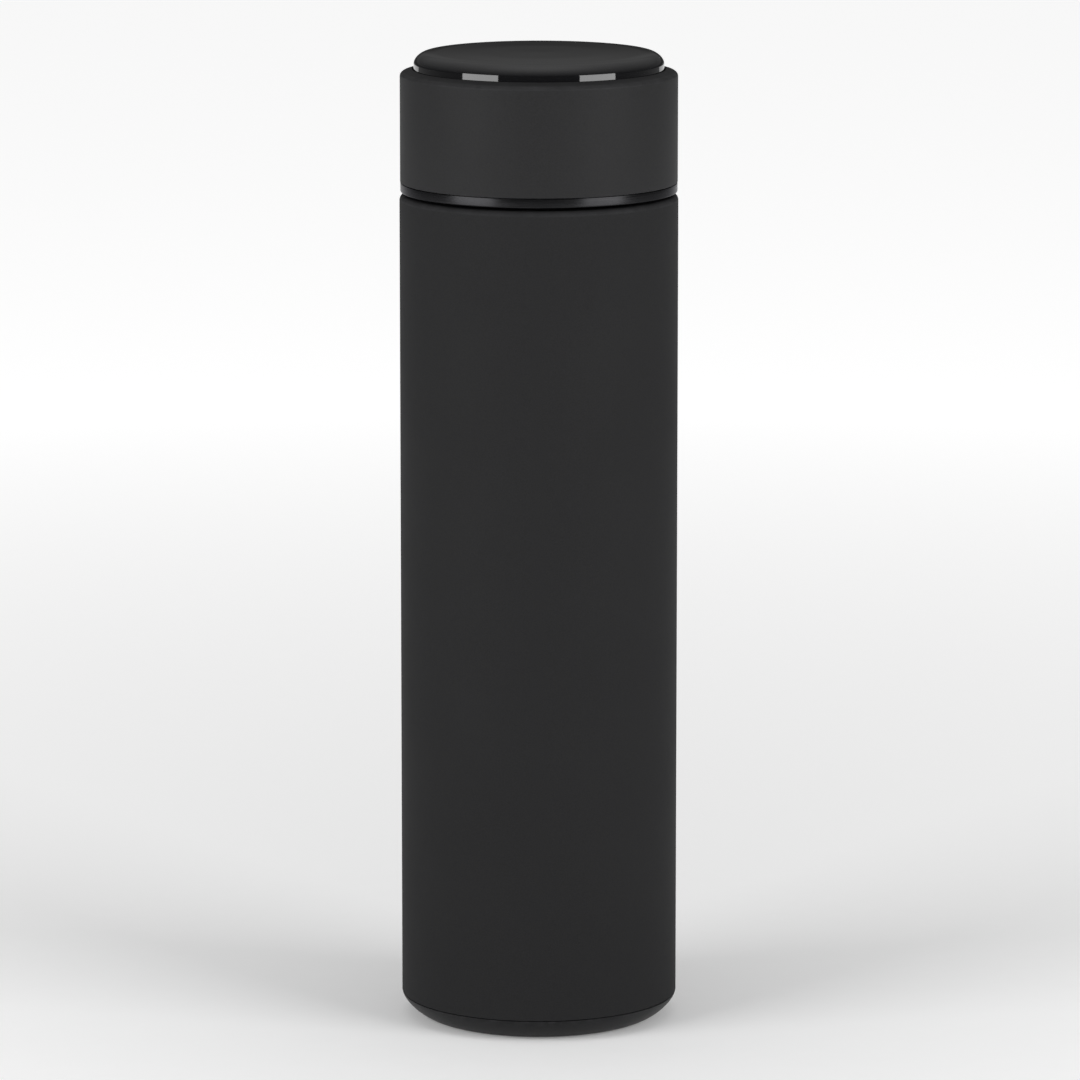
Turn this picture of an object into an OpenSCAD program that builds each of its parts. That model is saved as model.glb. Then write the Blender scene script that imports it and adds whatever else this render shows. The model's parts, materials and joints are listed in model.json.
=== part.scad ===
// Vacuum flask with a screw lid that shows the temperature.
// Millimetres. The origin is the centre of the base, +Z is up, and the front is -Y.

/* [Flask body] */
// Outer diameter of the body
body_d = 65; // [62:0.5:80]
// Height of the shoulder above the table
body_h = 195.6; // [150:0.2:260]
// Wall of the outer shell
shell_t = 0.5; // [0.4:0.1:0.8]
// Radius of the rounded shoulder
shoulder_round = 1.3; // [0.8:0.1:2]
// How far the neck is set in from the body's side
neck_inset = 6; // [5.5:0.1:8]
// Height of the neck above the shoulder
neck_h = 16.4; // [16:0.2:22]
// Fillet between the shoulder and the neck
neck_fillet = 1.2; // [0.6:0.1:2]

/* [Liner] */
// Wall of the inner liner
liner_t = 0.5; // [0.4:0.1:0.8]
// Vacuum gap between the shell and the liner
vacuum_gap = 2.9; // [2:0.1:4]
// Vacuum gap between the two walls of the neck
neck_gap = 1.5; // [1:0.1:2]
// Vacuum gap under the liner's floor
floor_gap = 3.8; // [3:0.1:6]
// Inside radius of the liner's bottom corner
liner_corner = 8; // [4:0.5:12]
// Width of the ledge that the lid's seal presses on
ledge_w = 2.7; // [2.4:0.1:3.2]
// Plain wall between the mouth thread and that ledge
ledge_gap = 1.8; // [1:0.1:3]
// Length of the narrow throat under the ledge
throat_h = 8; // [6:0.5:12]
// Height over which the throat widens to the liner
flare_h = 9; // [6:0.5:14]

/* [Base] */
// Height of the base cover's visible band
base_h = 5.2; // [4.5:0.1:8]
// Open seam between the base cover and the shell
base_seam = 0.2; // [0.1:0.05:0.4]
// How far the base cover's rounded edge reaches in
base_edge_w = 5.9; // [3:0.1:8]
// Fullness of that edge, from 1 for a straight cut to 2 for a round
base_edge_power = 1.4; // [1.1:0.1:2]
// Wall of the base cover
base_t = 1.2; // [0.8:0.1:2]
// Height of the collar that the cover pushes into the shell
base_collar_h = 3; // [2:0.1:3.2]
// Width of the ring that the flask stands on
foot_ring_w = 7; // [4:0.5:10]
// Depth of the hollow inside that ring
foot_recess = 0.6; // [0.3:0.1:0.9]
// Wall of the welded outer bottom
bottom_t = 0.6; // [0.4:0.1:0.8]
// Radius of the evacuation hole in the outer bottom
seal_hole_r = 1; // [0.5:0.1:2]
// Radius of the pressed dimple around that hole
dimple_r = 6; // [5:0.5:8]
// Radius of the getter tablet
getter_r = 4; // [2:0.5:5]
// Thickness of the getter tablet
getter_h = 2; // [1:0.1:2.4]

/* [Mouth thread] */
// Plain wall between the rim and the thread
thread_gap = 1.5; // [1:0.1:3]
// Rise of the lid for each full turn
thread_lead = 5; // [4.6:0.1:6]
// Turns of the ridge in the mouth
thread_turns = 1.5; // [1:0.25:1.6]
// Height of each ridge from its own wall
thread_depth = 1.1; // [1:0.05:1.2]
// Width of a ridge at its root
thread_root_w = 2.2; // [1.8:0.1:2.4]
// Width of a ridge at its crest
thread_crest_w = 1; // [0.6:0.1:1.2]
// Radial clearance between a crest and the wall it faces
thread_clear = 0.4; // [0.3:0.05:0.5]
// Clearance along the axis between the two loaded flanks
flank_clear = 0.4; // [0.3:0.05:0.5]

/* [Lid] */
// Open gap between the shoulder and the closed lid
lid_gap = 0.7; // [0.4:0.1:1.5]
// How much smaller the lid's radius is than the body's
lid_inset = 0.15; // [0:0.05:1]
// Height of the metal trim ring
trim_h = 2.25; // [1.5:0.05:4]
// Radial thickness of the trim ring
trim_t = 1.3; // [1:0.1:2]
// Rounding of the trim ring's lower edge
trim_round = 0.35; // [0.2:0.05:1.2]
// Dark seam between the trim ring and the sleeve
trim_seam = 0.1; // [0.1:0.05:0.4]
// Wall of the sleeve
sleeve_t = 0.5; // [0.4:0.1:0.8]
// Rounding of the sleeve's upper edge
sleeve_round = 1.1; // [0.8:0.1:1.5]
// Rise of the sleeve's top from that edge to the display
sleeve_rise = 0.7; // [0.4:0.1:1.2]
// Wall of the lid core's skirt
core_t = 2.1; // [1.6:0.1:2.6]
// Thickness of the deck across the lid core
deck_t = 2; // [1.8:0.1:3]
// Locating ribs inside the skirt
rib_count = 12; // [6:1:24]
// Width of a locating rib
rib_w = 1.2; // [0.8:0.1:2]
// How far a rib stands in from the skirt
rib_depth = 1.4; // [0.8:0.1:2]

/* [Display] */
// Width of the sleeve's top around the display
lens_border = 3.2; // [2.8:0.1:6]
// Clearance between the display lens and the sleeve
lens_clear = 0.25; // [0.1:0.05:0.4]
// How far the lens's foot sits below the sleeve's rounded edge
lens_sink = 0.3; // [0.2:0.05:0.6]
// How far the lens stands above the sleeve
lens_h = 3.75; // [3.4:0.05:6]
// Width of the lens's rounded rim
lens_edge_w = 2.65; // [1:0.05:4]
// Height of that rounded rim
lens_edge_h = 2.45; // [1:0.05:2.5]
// Fullness of the rim, from 1 for a straight cut to 2 for a round
lens_edge_power = 1.65; // [1.2:0.05:2]
// Rise of the lens's top towards its middle
lens_crown = 0.1; // [0:0.05:0.5]
// Thickness of the lens
lens_t = 2.1; // [1.5:0.1:2.4]
// Wall of the lens's skirt
lens_wall = 1.25; // [1:0.05:2]
// Thickness of the tape under the lens
tape_t = 0.3; // [0.2:0.05:0.4]

/* [Plug] */
// Wall of the threaded plug
plug_t = 1.8; // [1.4:0.1:2.2]
// Thickness of the plug's top flange
plug_flange_t = 1.6; // [1.2:0.1:2]
// How far that flange covers the rim, past the neck
plug_flange_over = 0.7; // [0.2:0.1:1]
// Clearance between the rim and the flange
rim_clear = 0.4; // [0.3:0.1:1]
// Thickness of the plug's floor
plug_floor_t = 1.8; // [1.4:0.1:2.4]
// Height of the lip that holds the seal on the plug
lip_h = 2.4; // [1.5:0.1:4]
// Clearance between the lip and the throat
lip_clear = 0.6; // [0.4:0.1:1]
// Height of the silicone seal
seal_h = 2.4; // [2:0.1:2.6]
// Depth of the seal's groove behind the lip
groove_depth = 1.1; // [0.8:0.1:1.4]
// Running clearance around the seal
seal_clear = 0.25; // [0.2:0.05:0.3]
// Clearance around the insulation foam
foam_clear = 0.3; // [0.2:0.1:1]

/* [Sensor] */
// Radius of the steel sensor cup
cup_r = 7.3; // [5:0.1:8.5]
// Wall of the sensor cup
cup_t = 0.4; // [0.3:0.1:0.6]
// How far the cup stands out under the plug
cup_out = 2; // [1:0.1:3]
// Width of the cup's flange
cup_flange_w = 2; // [1.5:0.1:2.5]
// Thickness of the gasket under that flange
gasket_t = 0.7; // [0.5:0.1:1]
// Clearance between the cup and the plug's floor
cup_clear = 0.2; // [0.1:0.05:0.3]
// Radius of the thermistor bead
bead_r = 1.4; // [1:0.1:2]
// Length of the thermistor bead
bead_l = 4; // [3:0.5:6]
// Radius of a sensor lead
lead_r = 0.45; // [0.3:0.05:0.6]
// Distance between the two sensor leads
lead_pitch = 1.4; // [1.2:0.1:2]
// Radius of the leads' bends
lead_bend = 2; // [1.2:0.1:2.4]

/* [Electronics] */
// Thickness of the circuit board
board_t = 1; // [0.8:0.1:1.6]
// Clearance between the board and the lens's skirt
board_clear = 0.9; // [0.5:0.1:2]
// How far the board's top stands above the lens's foot
board_up = 0.4; // [0.2:0.1:0.8]
// Width of the display module
display_w = 28; // [16:0.5:34]
// Depth of the display module
display_d = 13; // [8:0.5:18]
// Gap between the display module and the lens
display_gap = 0.3; // [0.2:0.1:1]
// Side of the controller chip
chip_w = 6; // [4:0.5:8]
// Thickness of the controller chip
chip_h = 0.9; // [0.6:0.1:1.4]
// Radius of the coin cell
cell_r = 12.25; // [8:0.05:14]
// Thickness of the coin cell
cell_h = 5; // [2:0.1:8]
// Wall of the battery holder
holder_t = 1.2; // [0.8:0.1:1.5]
// Thickness of the battery holder's floor
holder_floor = 0.6; // [0.4:0.1:0.6]
// Room over the coin cell for the upper contact
cell_headroom = 0.7; // [0.4:0.1:2]
// Clearance around the coin cell
cell_clear = 0.25; // [0.1:0.05:0.4]
// Thickness of the battery contacts
contact_t = 0.25; // [0.15:0.05:0.3]
// Width of the battery contacts
contact_w = 5; // [3:0.5:6]
// Radius of the touch spring's coil
spring_r = 3; // [2:0.1:3.5]
// Radius of the touch spring's wire
spring_wire_r = 0.25; // [0.2:0.05:0.3]
// Turns of the touch spring
spring_turns = 3; // [2:0.5:4]

/* [Screws] */
// Screws that hold the board, and as many that hold the plug
screw_count = 3; // [3:1:3]
// Radius of the screws' shanks
screw_r = 0.95; // [0.8:0.05:1.1]
// Wall around a screw's hole in its boss
boss_t = 1.6; // [1.2:0.1:1.8]
// Clearance around a shank
screw_clear = 0.05; // [0.02:0.01:0.1]
// Radius of the board screws' pan heads
pan_r = 1.9; // [1.6:0.1:2.2]
// Height of those pan heads
pan_h = 1.3; // [1:0.1:1.6]
// Radius of the plug screws' countersunk heads
sunk_r = 2.3; // [2:0.1:2.6]
// Length of a board screw under its head
board_screw_l = 5; // [4:0.5:6]
// Length of a plug screw with its head
plug_screw_l = 9; // [7:0.5:10]

/* [Hidden] */

$fn = 96;
small_fn = 32;
thread_steps = 40;
overlap = 1;
fit_gap = 0.05;

// Flask body, from the outside in
body_r = body_d / 2;
shell_in = body_r - shell_t;
neck_r = body_r - neck_inset;
rim_z = body_h + neck_h;
liner_r = shell_in - vacuum_gap - liner_t;
mouth_r = neck_r - shell_t - neck_gap - liner_t;
throat_r = mouth_r - ledge_w;
thread_h = thread_turns * thread_lead + thread_root_w;
ledge_z = rim_z - thread_gap - thread_h - ledge_gap;
throat_z = ledge_z - throat_h;
flare_z = throat_z - flare_h;

// Base, from the table up
shell_foot = base_h + base_seam;
collar_gap = 0.4;
bottom_z = base_h + base_collar_h + collar_gap;
bottom_flange_h = 3.4;
liner_floor_z = bottom_z + bottom_t + floor_gap + liner_t;
base_inset = 0.08;
base_r = body_r - base_inset;
edge_foot = 0.1;
dimple_h = 1.1;
bead_flange = 2;

// Thread: the plug's ridge rides one flank below the ridge in the mouth
thread_embed = 0.25;
mouth_crest = mouth_r - thread_depth;
plug_r = mouth_crest - thread_clear;
plug_crest = plug_r + thread_depth;
flank_slope = (thread_root_w - thread_crest_w) / 2 / thread_depth;
flank_reach = thread_crest_w / 2 + thread_root_w / 2 - flank_slope * thread_clear;
plug_thread_drop = flank_reach + flank_clear;
mouth_thread_z = rim_z - thread_gap - thread_h + thread_root_w / 2;

// Plug, from its flange down
deck_z = rim_z + rim_clear + plug_flange_t;
seal_z = ledge_z + seal_clear;
seal_out = mouth_crest - seal_clear - fit_gap;
groove_z = ledge_z - fit_gap;
groove_top = seal_z + seal_h + seal_clear;
lip_r = throat_r - lip_clear;
groove_r = lip_r - groove_depth;
plug_foot = groove_z - lip_h;
plug_floor = plug_foot + plug_floor_t;
plug_thread_low = groove_top + thread_root_w / 2 + 2 * fit_gap;
plug_thread_z = mouth_thread_z - plug_thread_drop;
plug_thread_start = (plug_thread_low - plug_thread_z) / thread_lead * 360;
cavity_low_r = groove_r - plug_t;
cavity_r = plug_r - plug_t;
cavity_step_h = 1.6;
cavity_step_z = groove_top + cavity_step_h;
flange_r = neck_r + plug_flange_over;

// Sensor in the plug's floor
cup_foot = plug_foot - cup_out;
cup_flange_z = plug_floor + gasket_t;
cup_flange_r = cup_r + cup_flange_w;
gasket_in = 0.2;

// Electronics, from the deck up to the board
deck_top = deck_z + deck_t;
cell_z = deck_top + holder_floor;
board_z = cell_z + cell_h + cell_headroom;
board_top = board_z + board_t;

// Lid, from the trim ring up to the sleeve's top
lid_foot = body_h + lid_gap;
lid_r = body_r - lid_inset;
trim_top = lid_foot + trim_h;
sleeve_foot = trim_top + trim_seam;
lens_foot = board_top - board_up;
sleeve_side_top = lens_foot + lens_sink;
sleeve_top = sleeve_side_top + sleeve_round + sleeve_rise;
sleeve_in = lid_r - sleeve_t;
core_r = sleeve_in - fit_gap;
core_in = core_r - core_t;
ring_r = lid_r - fit_gap;
ring_seat_r = ring_r - trim_t;

// Display, from the lens down
lens_r = lid_r - lens_border;
lens_hole_r = lens_r + lens_clear;
lens_top = sleeve_top + lens_h;
lens_in_r = lens_r - lens_wall;
lens_ceiling = lens_top - lens_crown - lens_t;
lens_flange_w = 1.3;
lens_flange_r = lens_r + lens_flange_w;
lens_flange_h = 0.7;
lens_ledge = lens_foot - tape_t;
ledge_in = 0.3;
ledge_in_r = lens_in_r + ledge_in;

// Places on the board and the deck
board_r = lens_in_r - board_clear;
holder_in = cell_r + cell_clear;
holder_r = holder_in + holder_t;
boss_r = screw_r + screw_clear + boss_t;
board_screw_at = board_r - boss_r;
boss_merge = 0.5;
plug_screw_at = cavity_r + boss_merge - boss_r;
lead_offset = 3.6;
lead_x = holder_r + lead_offset;
lead_hole_r = 2;
tip_gap = 0.2;
lead_drop = 1.5;
lead_turn_z = deck_z - lead_drop;
lead_room = 0.6;
foam_top = lead_turn_z - lead_r - lead_room;

// Points of an edge that turns from a side at (r1, z1) to a face at (r2, z2)
function edge(r1, z1, r2, z2, power = 2, steps = 8) = [
    for (i = [0:steps])
        let (a = 90 * i / steps)
        [r2 + (r1 - r2) * pow(cos(a), 2 / power), z1 + (z2 - z1) * pow(sin(a), 2 / power)]
];

// The same points in the other order
function reversed(list) = [for (i = [len(list) - 1:-1:0]) list[i]];

// Points of a wall that swings smoothly between two radii as it rises
function swing(r1, z1, r2, z2, steps = 12) = [
    for (i = [0:steps])
        [r1 + (r2 - r1) * (1 - cos(180 * i / steps)) / 2, z1 + (z2 - z1) * i / steps]
];

// A closed solid turned from an outline of [radius, height] points
module turned(outline) {
    rotate_extrude() polygon(outline);
}

// Copies of a child spaced evenly round the axis
module ring_of(count, radius, start = 0) {
    for (i = [0:count - 1])
        rotate(start + 360 * i / count) translate([radius, 0, 0]) children();
}

// A closed solid swept through rings that all have the same number of points
module swept(rings) {
    n = len(rings[0]);
    last = len(rings) - 1;
    sides = [
        for (i = [0:last - 1], j = [0:n - 1])
            let (a = i * n + j, b = i * n + (j + 1) % n)
            each [[a, b, a + n], [b, b + n, a + n]]
    ];
    first_cap = [for (j = [n - 1:-1:0]) j];
    last_cap = [for (j = [0:n - 1]) last * n + j];
    polyhedron([for (ring = rings) each ring], concat(sides, [first_cap, last_cap]), convexity = 6);
}

// A thread ridge from radius root to radius crest, which fades out at both ends
module ridge(root, crest, z, start) {
    steps = round(thread_turns * thread_steps);
    fade = thread_steps / 6;
    buried = 0.1;
    swept([
        for (i = [0:steps])
            let (
                a = start + 360 * thread_turns * i / steps,
                full = max(buried, min(1, i / fade, (steps - i) / fade)),
                tip = root + (crest - root) * full,
                mid = z + thread_lead * a / 360,
                low = [
                    [root, mid - thread_root_w / 2],
                    [tip, mid - thread_crest_w / 2],
                    [tip, mid + thread_crest_w / 2],
                    [root, mid + thread_root_w / 2]
                ],
                section = crest > root ? low : reversed(low)
            )
            [for (p = section) [p[0] * cos(a), p[0] * sin(a), p[1]]]
    ]);
}

// Round wire along points that lie in the plane y = 0, moved sideways to y
module wire(path, y, radius, sides = 8) {
    last = len(path) - 1;
    swept([
        for (i = [0:last])
            let (
                along = path[min(i + 1, last)] - path[max(i - 1, 0)],
                t = along / norm(along),
                across = [-t[1], t[0]]
            )
            [
                for (j = [0:sides - 1])
                    let (a = 360 * j / sides, s = radius * cos(a))
                    [path[i][0] + across[0] * s, y + radius * sin(a), path[i][1] + across[1] * s]
            ]
    ]);
}

// Steel outer shell: side, rounded shoulder, neck and the rolled rim
module outer_shell() {
    rim_round = 0.9;
    shoulder_in = shoulder_round - shell_t;
    outside = concat(
        [[body_r, shell_foot]],
        edge(body_r, body_h - shoulder_round, body_r - shoulder_round, body_h),
        reversed(edge(neck_r, body_h + neck_fillet, neck_r + neck_fillet, body_h)),
        edge(neck_r, rim_z - rim_round, neck_r - rim_round, rim_z)
    );
    inside = concat(
        [[mouth_r + liner_t, rim_z], [mouth_r + liner_t, rim_z - shell_t]],
        [[neck_r - rim_round, rim_z - shell_t]],
        [[neck_r - shell_t, rim_z - rim_round]],
        edge(neck_r - shell_t, body_h + neck_fillet, neck_r + neck_fillet, body_h - shell_t),
        reversed(edge(shell_in, body_h - shoulder_round, shell_in - shoulder_in, body_h - shell_t)),
        [[shell_in, shell_foot]]
    );
    color([0.10, 0.10, 0.11]) turned(concat(outside, inside));
}

// Steel liner: rounded floor, side, flare, throat, seal ledge and threaded mouth
module inner_liner() {
    inner_corner = reversed(edge(liner_r, liner_floor_z + liner_corner,
        liner_r - liner_corner, liner_floor_z));
    outer_corner = edge(liner_r + liner_t, liner_floor_z + liner_corner,
        liner_r - liner_corner, liner_floor_z - liner_t);
    inside = concat(
        [[0, liner_floor_z]],
        inner_corner,
        swing(liner_r, flare_z, throat_r, throat_z),
        [[throat_r, ledge_z], [mouth_r, ledge_z], [mouth_r, rim_z]]
    );
    neck_out = mouth_r + liner_t;
    throat_out = throat_r + liner_t;
    under_ledge = ledge_z - liner_t;
    outside = concat(
        [[neck_out, rim_z], [neck_out, under_ledge], [throat_out, under_ledge]],
        reversed(swing(liner_r + liner_t, flare_z, throat_out, throat_z)),
        outer_corner,
        [[0, liner_floor_z - liner_t]]
    );
    color([0.75, 0.76, 0.78]) {
        turned(concat(inside, outside));
        ridge(mouth_r + thread_embed, mouth_crest, mouth_thread_z, 0);
    }
}

// Steel bottom welded into the shell, with a dimple round the evacuation hole
module outer_bottom() {
    flange_in = shell_in - bottom_t;
    dimple_z = bottom_z + dimple_h;
    dimple_out = dimple_r + bottom_t / 2;
    corner = 1;
    inner_corner = 0.6;
    outline = [
        [seal_hole_r, dimple_z],
        [dimple_r - dimple_h, dimple_z],
        [dimple_r, bottom_z],
        [shell_in - corner, bottom_z],
        [shell_in, bottom_z + corner],
        [shell_in, bottom_z + bottom_flange_h],
        [flange_in, bottom_z + bottom_flange_h],
        [flange_in, bottom_z + bottom_t + inner_corner],
        [flange_in - inner_corner, bottom_z + bottom_t],
        [dimple_out, bottom_z + bottom_t],
        [dimple_out - dimple_h, dimple_z + bottom_t],
        [seal_hole_r, dimple_z + bottom_t]
    ];
    color([0.70, 0.71, 0.73]) turned(outline);
}

// Solder glass that closes the evacuation hole from below
module seal_bead() {
    dimple_z = bottom_z + dimple_h;
    bead_out = seal_hole_r + bead_flange;
    bead_drop = 0.8;
    bead_flat_r = 0.4;
    outline = concat(
        [[0, dimple_z - bead_drop]],
        reversed(edge(bead_out, dimple_z, bead_flat_r, dimple_z - bead_drop)),
        [[seal_hole_r, dimple_z], [seal_hole_r, dimple_z + bottom_t], [0, dimple_z + bottom_t]]
    );
    color([0.35, 0.32, 0.28]) turned(outline);
}

// Tablet that soaks up the last gas in the vacuum
module getter() {
    from_dimple = 3;
    at = dimple_r + getter_r + from_dimple;
    color([0.45, 0.44, 0.42])
        translate([at, 0, bottom_z + bottom_t])
        cylinder(r = getter_r, h = getter_h, $fn = small_fn);
}

// Base cover with a soft lower edge, a foot ring and a collar inside the shell
module base_cover() {
    foot_r = base_r - base_edge_w;
    recess_r = foot_r - foot_ring_w;
    collar_r = shell_in - fit_gap;
    inner_r = collar_r - base_t;
    recess_slope = 0.5;
    ease = 0.6;
    outline = concat(
        [[0, foot_recess], [recess_r - recess_slope, foot_recess], [recess_r, 0], [foot_r - ease, 0]],
        reversed(edge(base_r, base_h, foot_r, edge_foot, base_edge_power, 14)),
        [[collar_r, base_h], [collar_r, base_h + base_collar_h], [inner_r, base_h + base_collar_h]],
        [[inner_r, base_h - ease], [foot_r + ease, foot_recess + base_t], [0, foot_recess + base_t]]
    );
    color([0.08, 0.08, 0.09]) turned(outline);
}

// Silicone seal that the plug carries down onto the ledge
module plug_seal() {
    seal_in = groove_r + seal_clear;
    lip = 0.5;
    inner_lip = 0.3;
    outline = [
        [seal_in, seal_z + inner_lip],
        [seal_in + inner_lip, seal_z],
        [seal_out - lip, seal_z],
        [seal_out, seal_z + lip],
        [seal_out, seal_z + seal_h - lip],
        [seal_out - lip, seal_z + seal_h],
        [seal_in + inner_lip, seal_z + seal_h],
        [seal_in, seal_z + seal_h - inner_lip]
    ];
    color([0.85, 0.85, 0.83]) turned(outline);
}

// Painted steel sleeve round the lid, with a round window for the display
module cap_sleeve() {
    top_edge_r = lid_r - sleeve_round;
    round_in = sleeve_round - sleeve_t;
    edge_z = sleeve_side_top + sleeve_round;
    outside = concat(
        [[lid_r, sleeve_foot]],
        edge(lid_r, sleeve_side_top, top_edge_r, edge_z),
        [[lens_hole_r, sleeve_top]]
    );
    inside = concat(
        [[lens_hole_r, sleeve_top - sleeve_t]],
        reversed(edge(sleeve_in, sleeve_side_top, sleeve_in - round_in, edge_z - sleeve_t)),
        [[sleeve_in, sleeve_foot]]
    );
    color([0.11, 0.11, 0.12]) turned(concat(outside, inside));
}

// Metal trim ring at the foot of the lid
module trim_ring() {
    chamfer = 0.08;
    outline = concat(
        [[ring_seat_r, lid_foot]],
        reversed(edge(ring_r, lid_foot + trim_round, ring_r - trim_round, lid_foot)),
        [[ring_r, trim_top - chamfer], [ring_r - chamfer, trim_top], [ring_seat_r, trim_top]]
    );
    color([0.33, 0.33, 0.35]) turned(outline);
}

// Moulded core of the lid: skirt, deck, display ledge, screw bosses and ribs
module lid_core() {
    wall_top = sleeve_side_top - 2 * fit_gap;
    skirt_foot = lid_foot - 2 * fit_gap;
    upper_in = lens_flange_r + 4 * fit_gap;
    ledge_t = 1.6;
    outline = [
        [core_in, skirt_foot],
        [ring_seat_r, skirt_foot],
        [ring_seat_r, trim_top],
        [core_r, trim_top],
        [core_r, wall_top],
        [upper_in, wall_top],
        [upper_in, lens_ledge],
        [ledge_in_r, lens_ledge],
        [ledge_in_r, lens_ledge - ledge_t],
        [core_in, lens_ledge - 2 * ledge_t],
        [core_in, deck_top],
        [0, deck_top],
        [0, deck_z],
        [core_in, deck_z]
    ];
    hole = screw_r + screw_clear;
    color([0.20, 0.20, 0.21]) difference() {
        union() {
            turned(outline);
            ring_of(screw_count, board_screw_at, 90)
                translate([0, 0, deck_top - overlap])
                cylinder(r = boss_r, h = board_z - deck_top + overlap, $fn = small_fn);
            ring_of(rib_count, core_in - rib_depth)
                translate([0, -rib_w / 2, trim_top])
                cube([rib_depth + overlap / 2, rib_w, deck_z - trim_top + overlap / 2]);
        }
        ring_of(screw_count, board_screw_at, 90)
            translate([0, 0, board_z + board_t - board_screw_l])
            cylinder(r = hole, h = board_screw_l, $fn = small_fn);
        ring_of(screw_count, plug_screw_at, 60) {
            translate([0, 0, deck_z - overlap])
                cylinder(r = hole, h = deck_t + 2 * overlap, $fn = small_fn);
            sunk_hole();
        }
        translate([lead_x, 0, deck_z - overlap])
            cylinder(r = lead_hole_r, h = deck_t + 2 * overlap, $fn = small_fn);
    }
}

// Countersink for a plug screw's head, with its clearance
module sunk_hole() {
    depth = sunk_r - screw_r;
    widen = 2 * screw_clear;
    translate([0, 0, deck_top - depth])
        cylinder(r1 = screw_r + widen, r2 = sunk_r + widen, h = depth, $fn = small_fn);
}

// Black display lens: a shallow cup, upside down, with a flange under the sleeve
module display_lens() {
    chamfer = 0.3;
    ceiling_corner = 2;
    flange_top = lens_foot + lens_flange_h;
    outside = concat(
        [[lens_in_r, lens_foot], [lens_flange_r, lens_foot]],
        [[lens_flange_r, flange_top - chamfer]],
        [[lens_flange_r - chamfer, flange_top], [lens_r, flange_top]],
        edge(lens_r, lens_top - lens_crown - lens_edge_h, lens_r - lens_edge_w,
            lens_top - lens_crown, lens_edge_power, 14),
        [[lens_r * 0.5, lens_top - lens_crown / 4], [0, lens_top]]
    );
    inside = concat(
        [[0, lens_ceiling], [lens_in_r - ceiling_corner, lens_ceiling]],
        [[lens_in_r, lens_ceiling - ceiling_corner]]
    );
    color([0.02, 0.02, 0.02]) turned(concat(outside, inside));
}

// Ring of double-sided tape that seals the lens to the core
module lens_tape() {
    color([0.15, 0.15, 0.15]) difference() {
        translate([0, 0, lens_ledge]) cylinder(r = lens_flange_r - 2 * fit_gap, h = tape_t);
        translate([0, 0, lens_ledge - overlap]) cylinder(r = ledge_in_r, h = tape_t + 2 * overlap);
    }
}

// Round circuit board with its screw holes
module circuit_board() {
    color([0.05, 0.25, 0.12]) difference() {
        translate([0, 0, board_z]) cylinder(r = board_r, h = board_t);
        ring_of(screw_count, board_screw_at, 90)
            translate([0, 0, board_z - overlap])
            cylinder(r = screw_r + 2 * screw_clear, h = board_t + 2 * overlap, $fn = small_fn);
    }
}

// Display module that stands on the board under the lens
module led_display() {
    h = lens_ceiling - display_gap - board_top;
    color([0.90, 0.90, 0.88])
        translate([-display_w / 2, -display_d / 2, board_top])
        cube([display_w, display_d, h]);
}

// Controller chip behind the display
module controller_chip() {
    legs = 5;
    leg_pitch = chip_w / (legs + 1);
    leg_l = 1;
    leg_w = 0.3;
    leg_t = 0.25;
    leg_in = 0.2;
    from_display = 3;
    y = display_d / 2 + chip_w / 2 + from_display;
    color([0.08, 0.08, 0.08]) translate([0, y, board_top]) {
        translate([-chip_w / 2, -chip_w / 2, 0]) cube([chip_w, chip_w, chip_h]);
        for (side = [0, 180], i = [1:legs])
            rotate(side)
                translate([chip_w / 2 - leg_in, i * leg_pitch - chip_w / 2 - leg_w / 2, 0])
                cube([leg_l, leg_w, leg_t]);
    }
}

// Spring that joins the board's touch pad to the lens
module touch_spring() {
    steps = 16;
    from_display = 2.5;
    y = -display_d / 2 - spring_r - from_display;
    low = board_top + spring_wire_r;
    high = lens_ceiling - spring_wire_r - fit_gap;
    coil_steps = round(spring_turns * steps);
    color([0.80, 0.78, 0.70]) translate([0, y, 0]) swept([
        for (i = [0:coil_steps])
            let (a = 360 * i / steps, z = low + (high - low) * i / coil_steps)
            [
                for (j = [0:7])
                    let (b = 45 * j, r = spring_r + spring_wire_r * cos(b))
                    [r * cos(a), r * sin(a), z + spring_wire_r * sin(b)]
            ]
    ]);
}

// Open cradle that holds the coin cell on the deck
module battery_holder() {
    board_gap = 0.3;
    slot_clear = 0.6;
    wall_h = board_z - deck_top - board_gap;
    slot = contact_w + slot_clear;
    color([0.12, 0.12, 0.13]) difference() {
        translate([0, 0, deck_top]) cylinder(r = holder_r, h = wall_h);
        translate([0, 0, cell_z]) cylinder(r = holder_in, h = wall_h);
        translate([-slot / 2, holder_in - overlap, deck_top + holder_floor - contact_t])
            cube([slot, holder_t + 2 * overlap, wall_h]);
        translate([-slot / 2, 0, deck_top + holder_floor - contact_t])
            cube([slot, holder_in, wall_h]);
    }
}

// Coin cell: can with a rounded edge and a smaller lower pole
module coin_cell() {
    bevel = 0.4;
    pole_r = cell_r - 1.8;
    pole_h = 0.5;
    outline = [
        [0, cell_z],
        [pole_r, cell_z],
        [pole_r, cell_z + pole_h],
        [cell_r, cell_z + pole_h],
        [cell_r, cell_z + cell_h - bevel],
        [cell_r - bevel, cell_z + cell_h],
        [0, cell_z + cell_h]
    ];
    color([0.80, 0.80, 0.82]) turned(outline);
}

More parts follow.
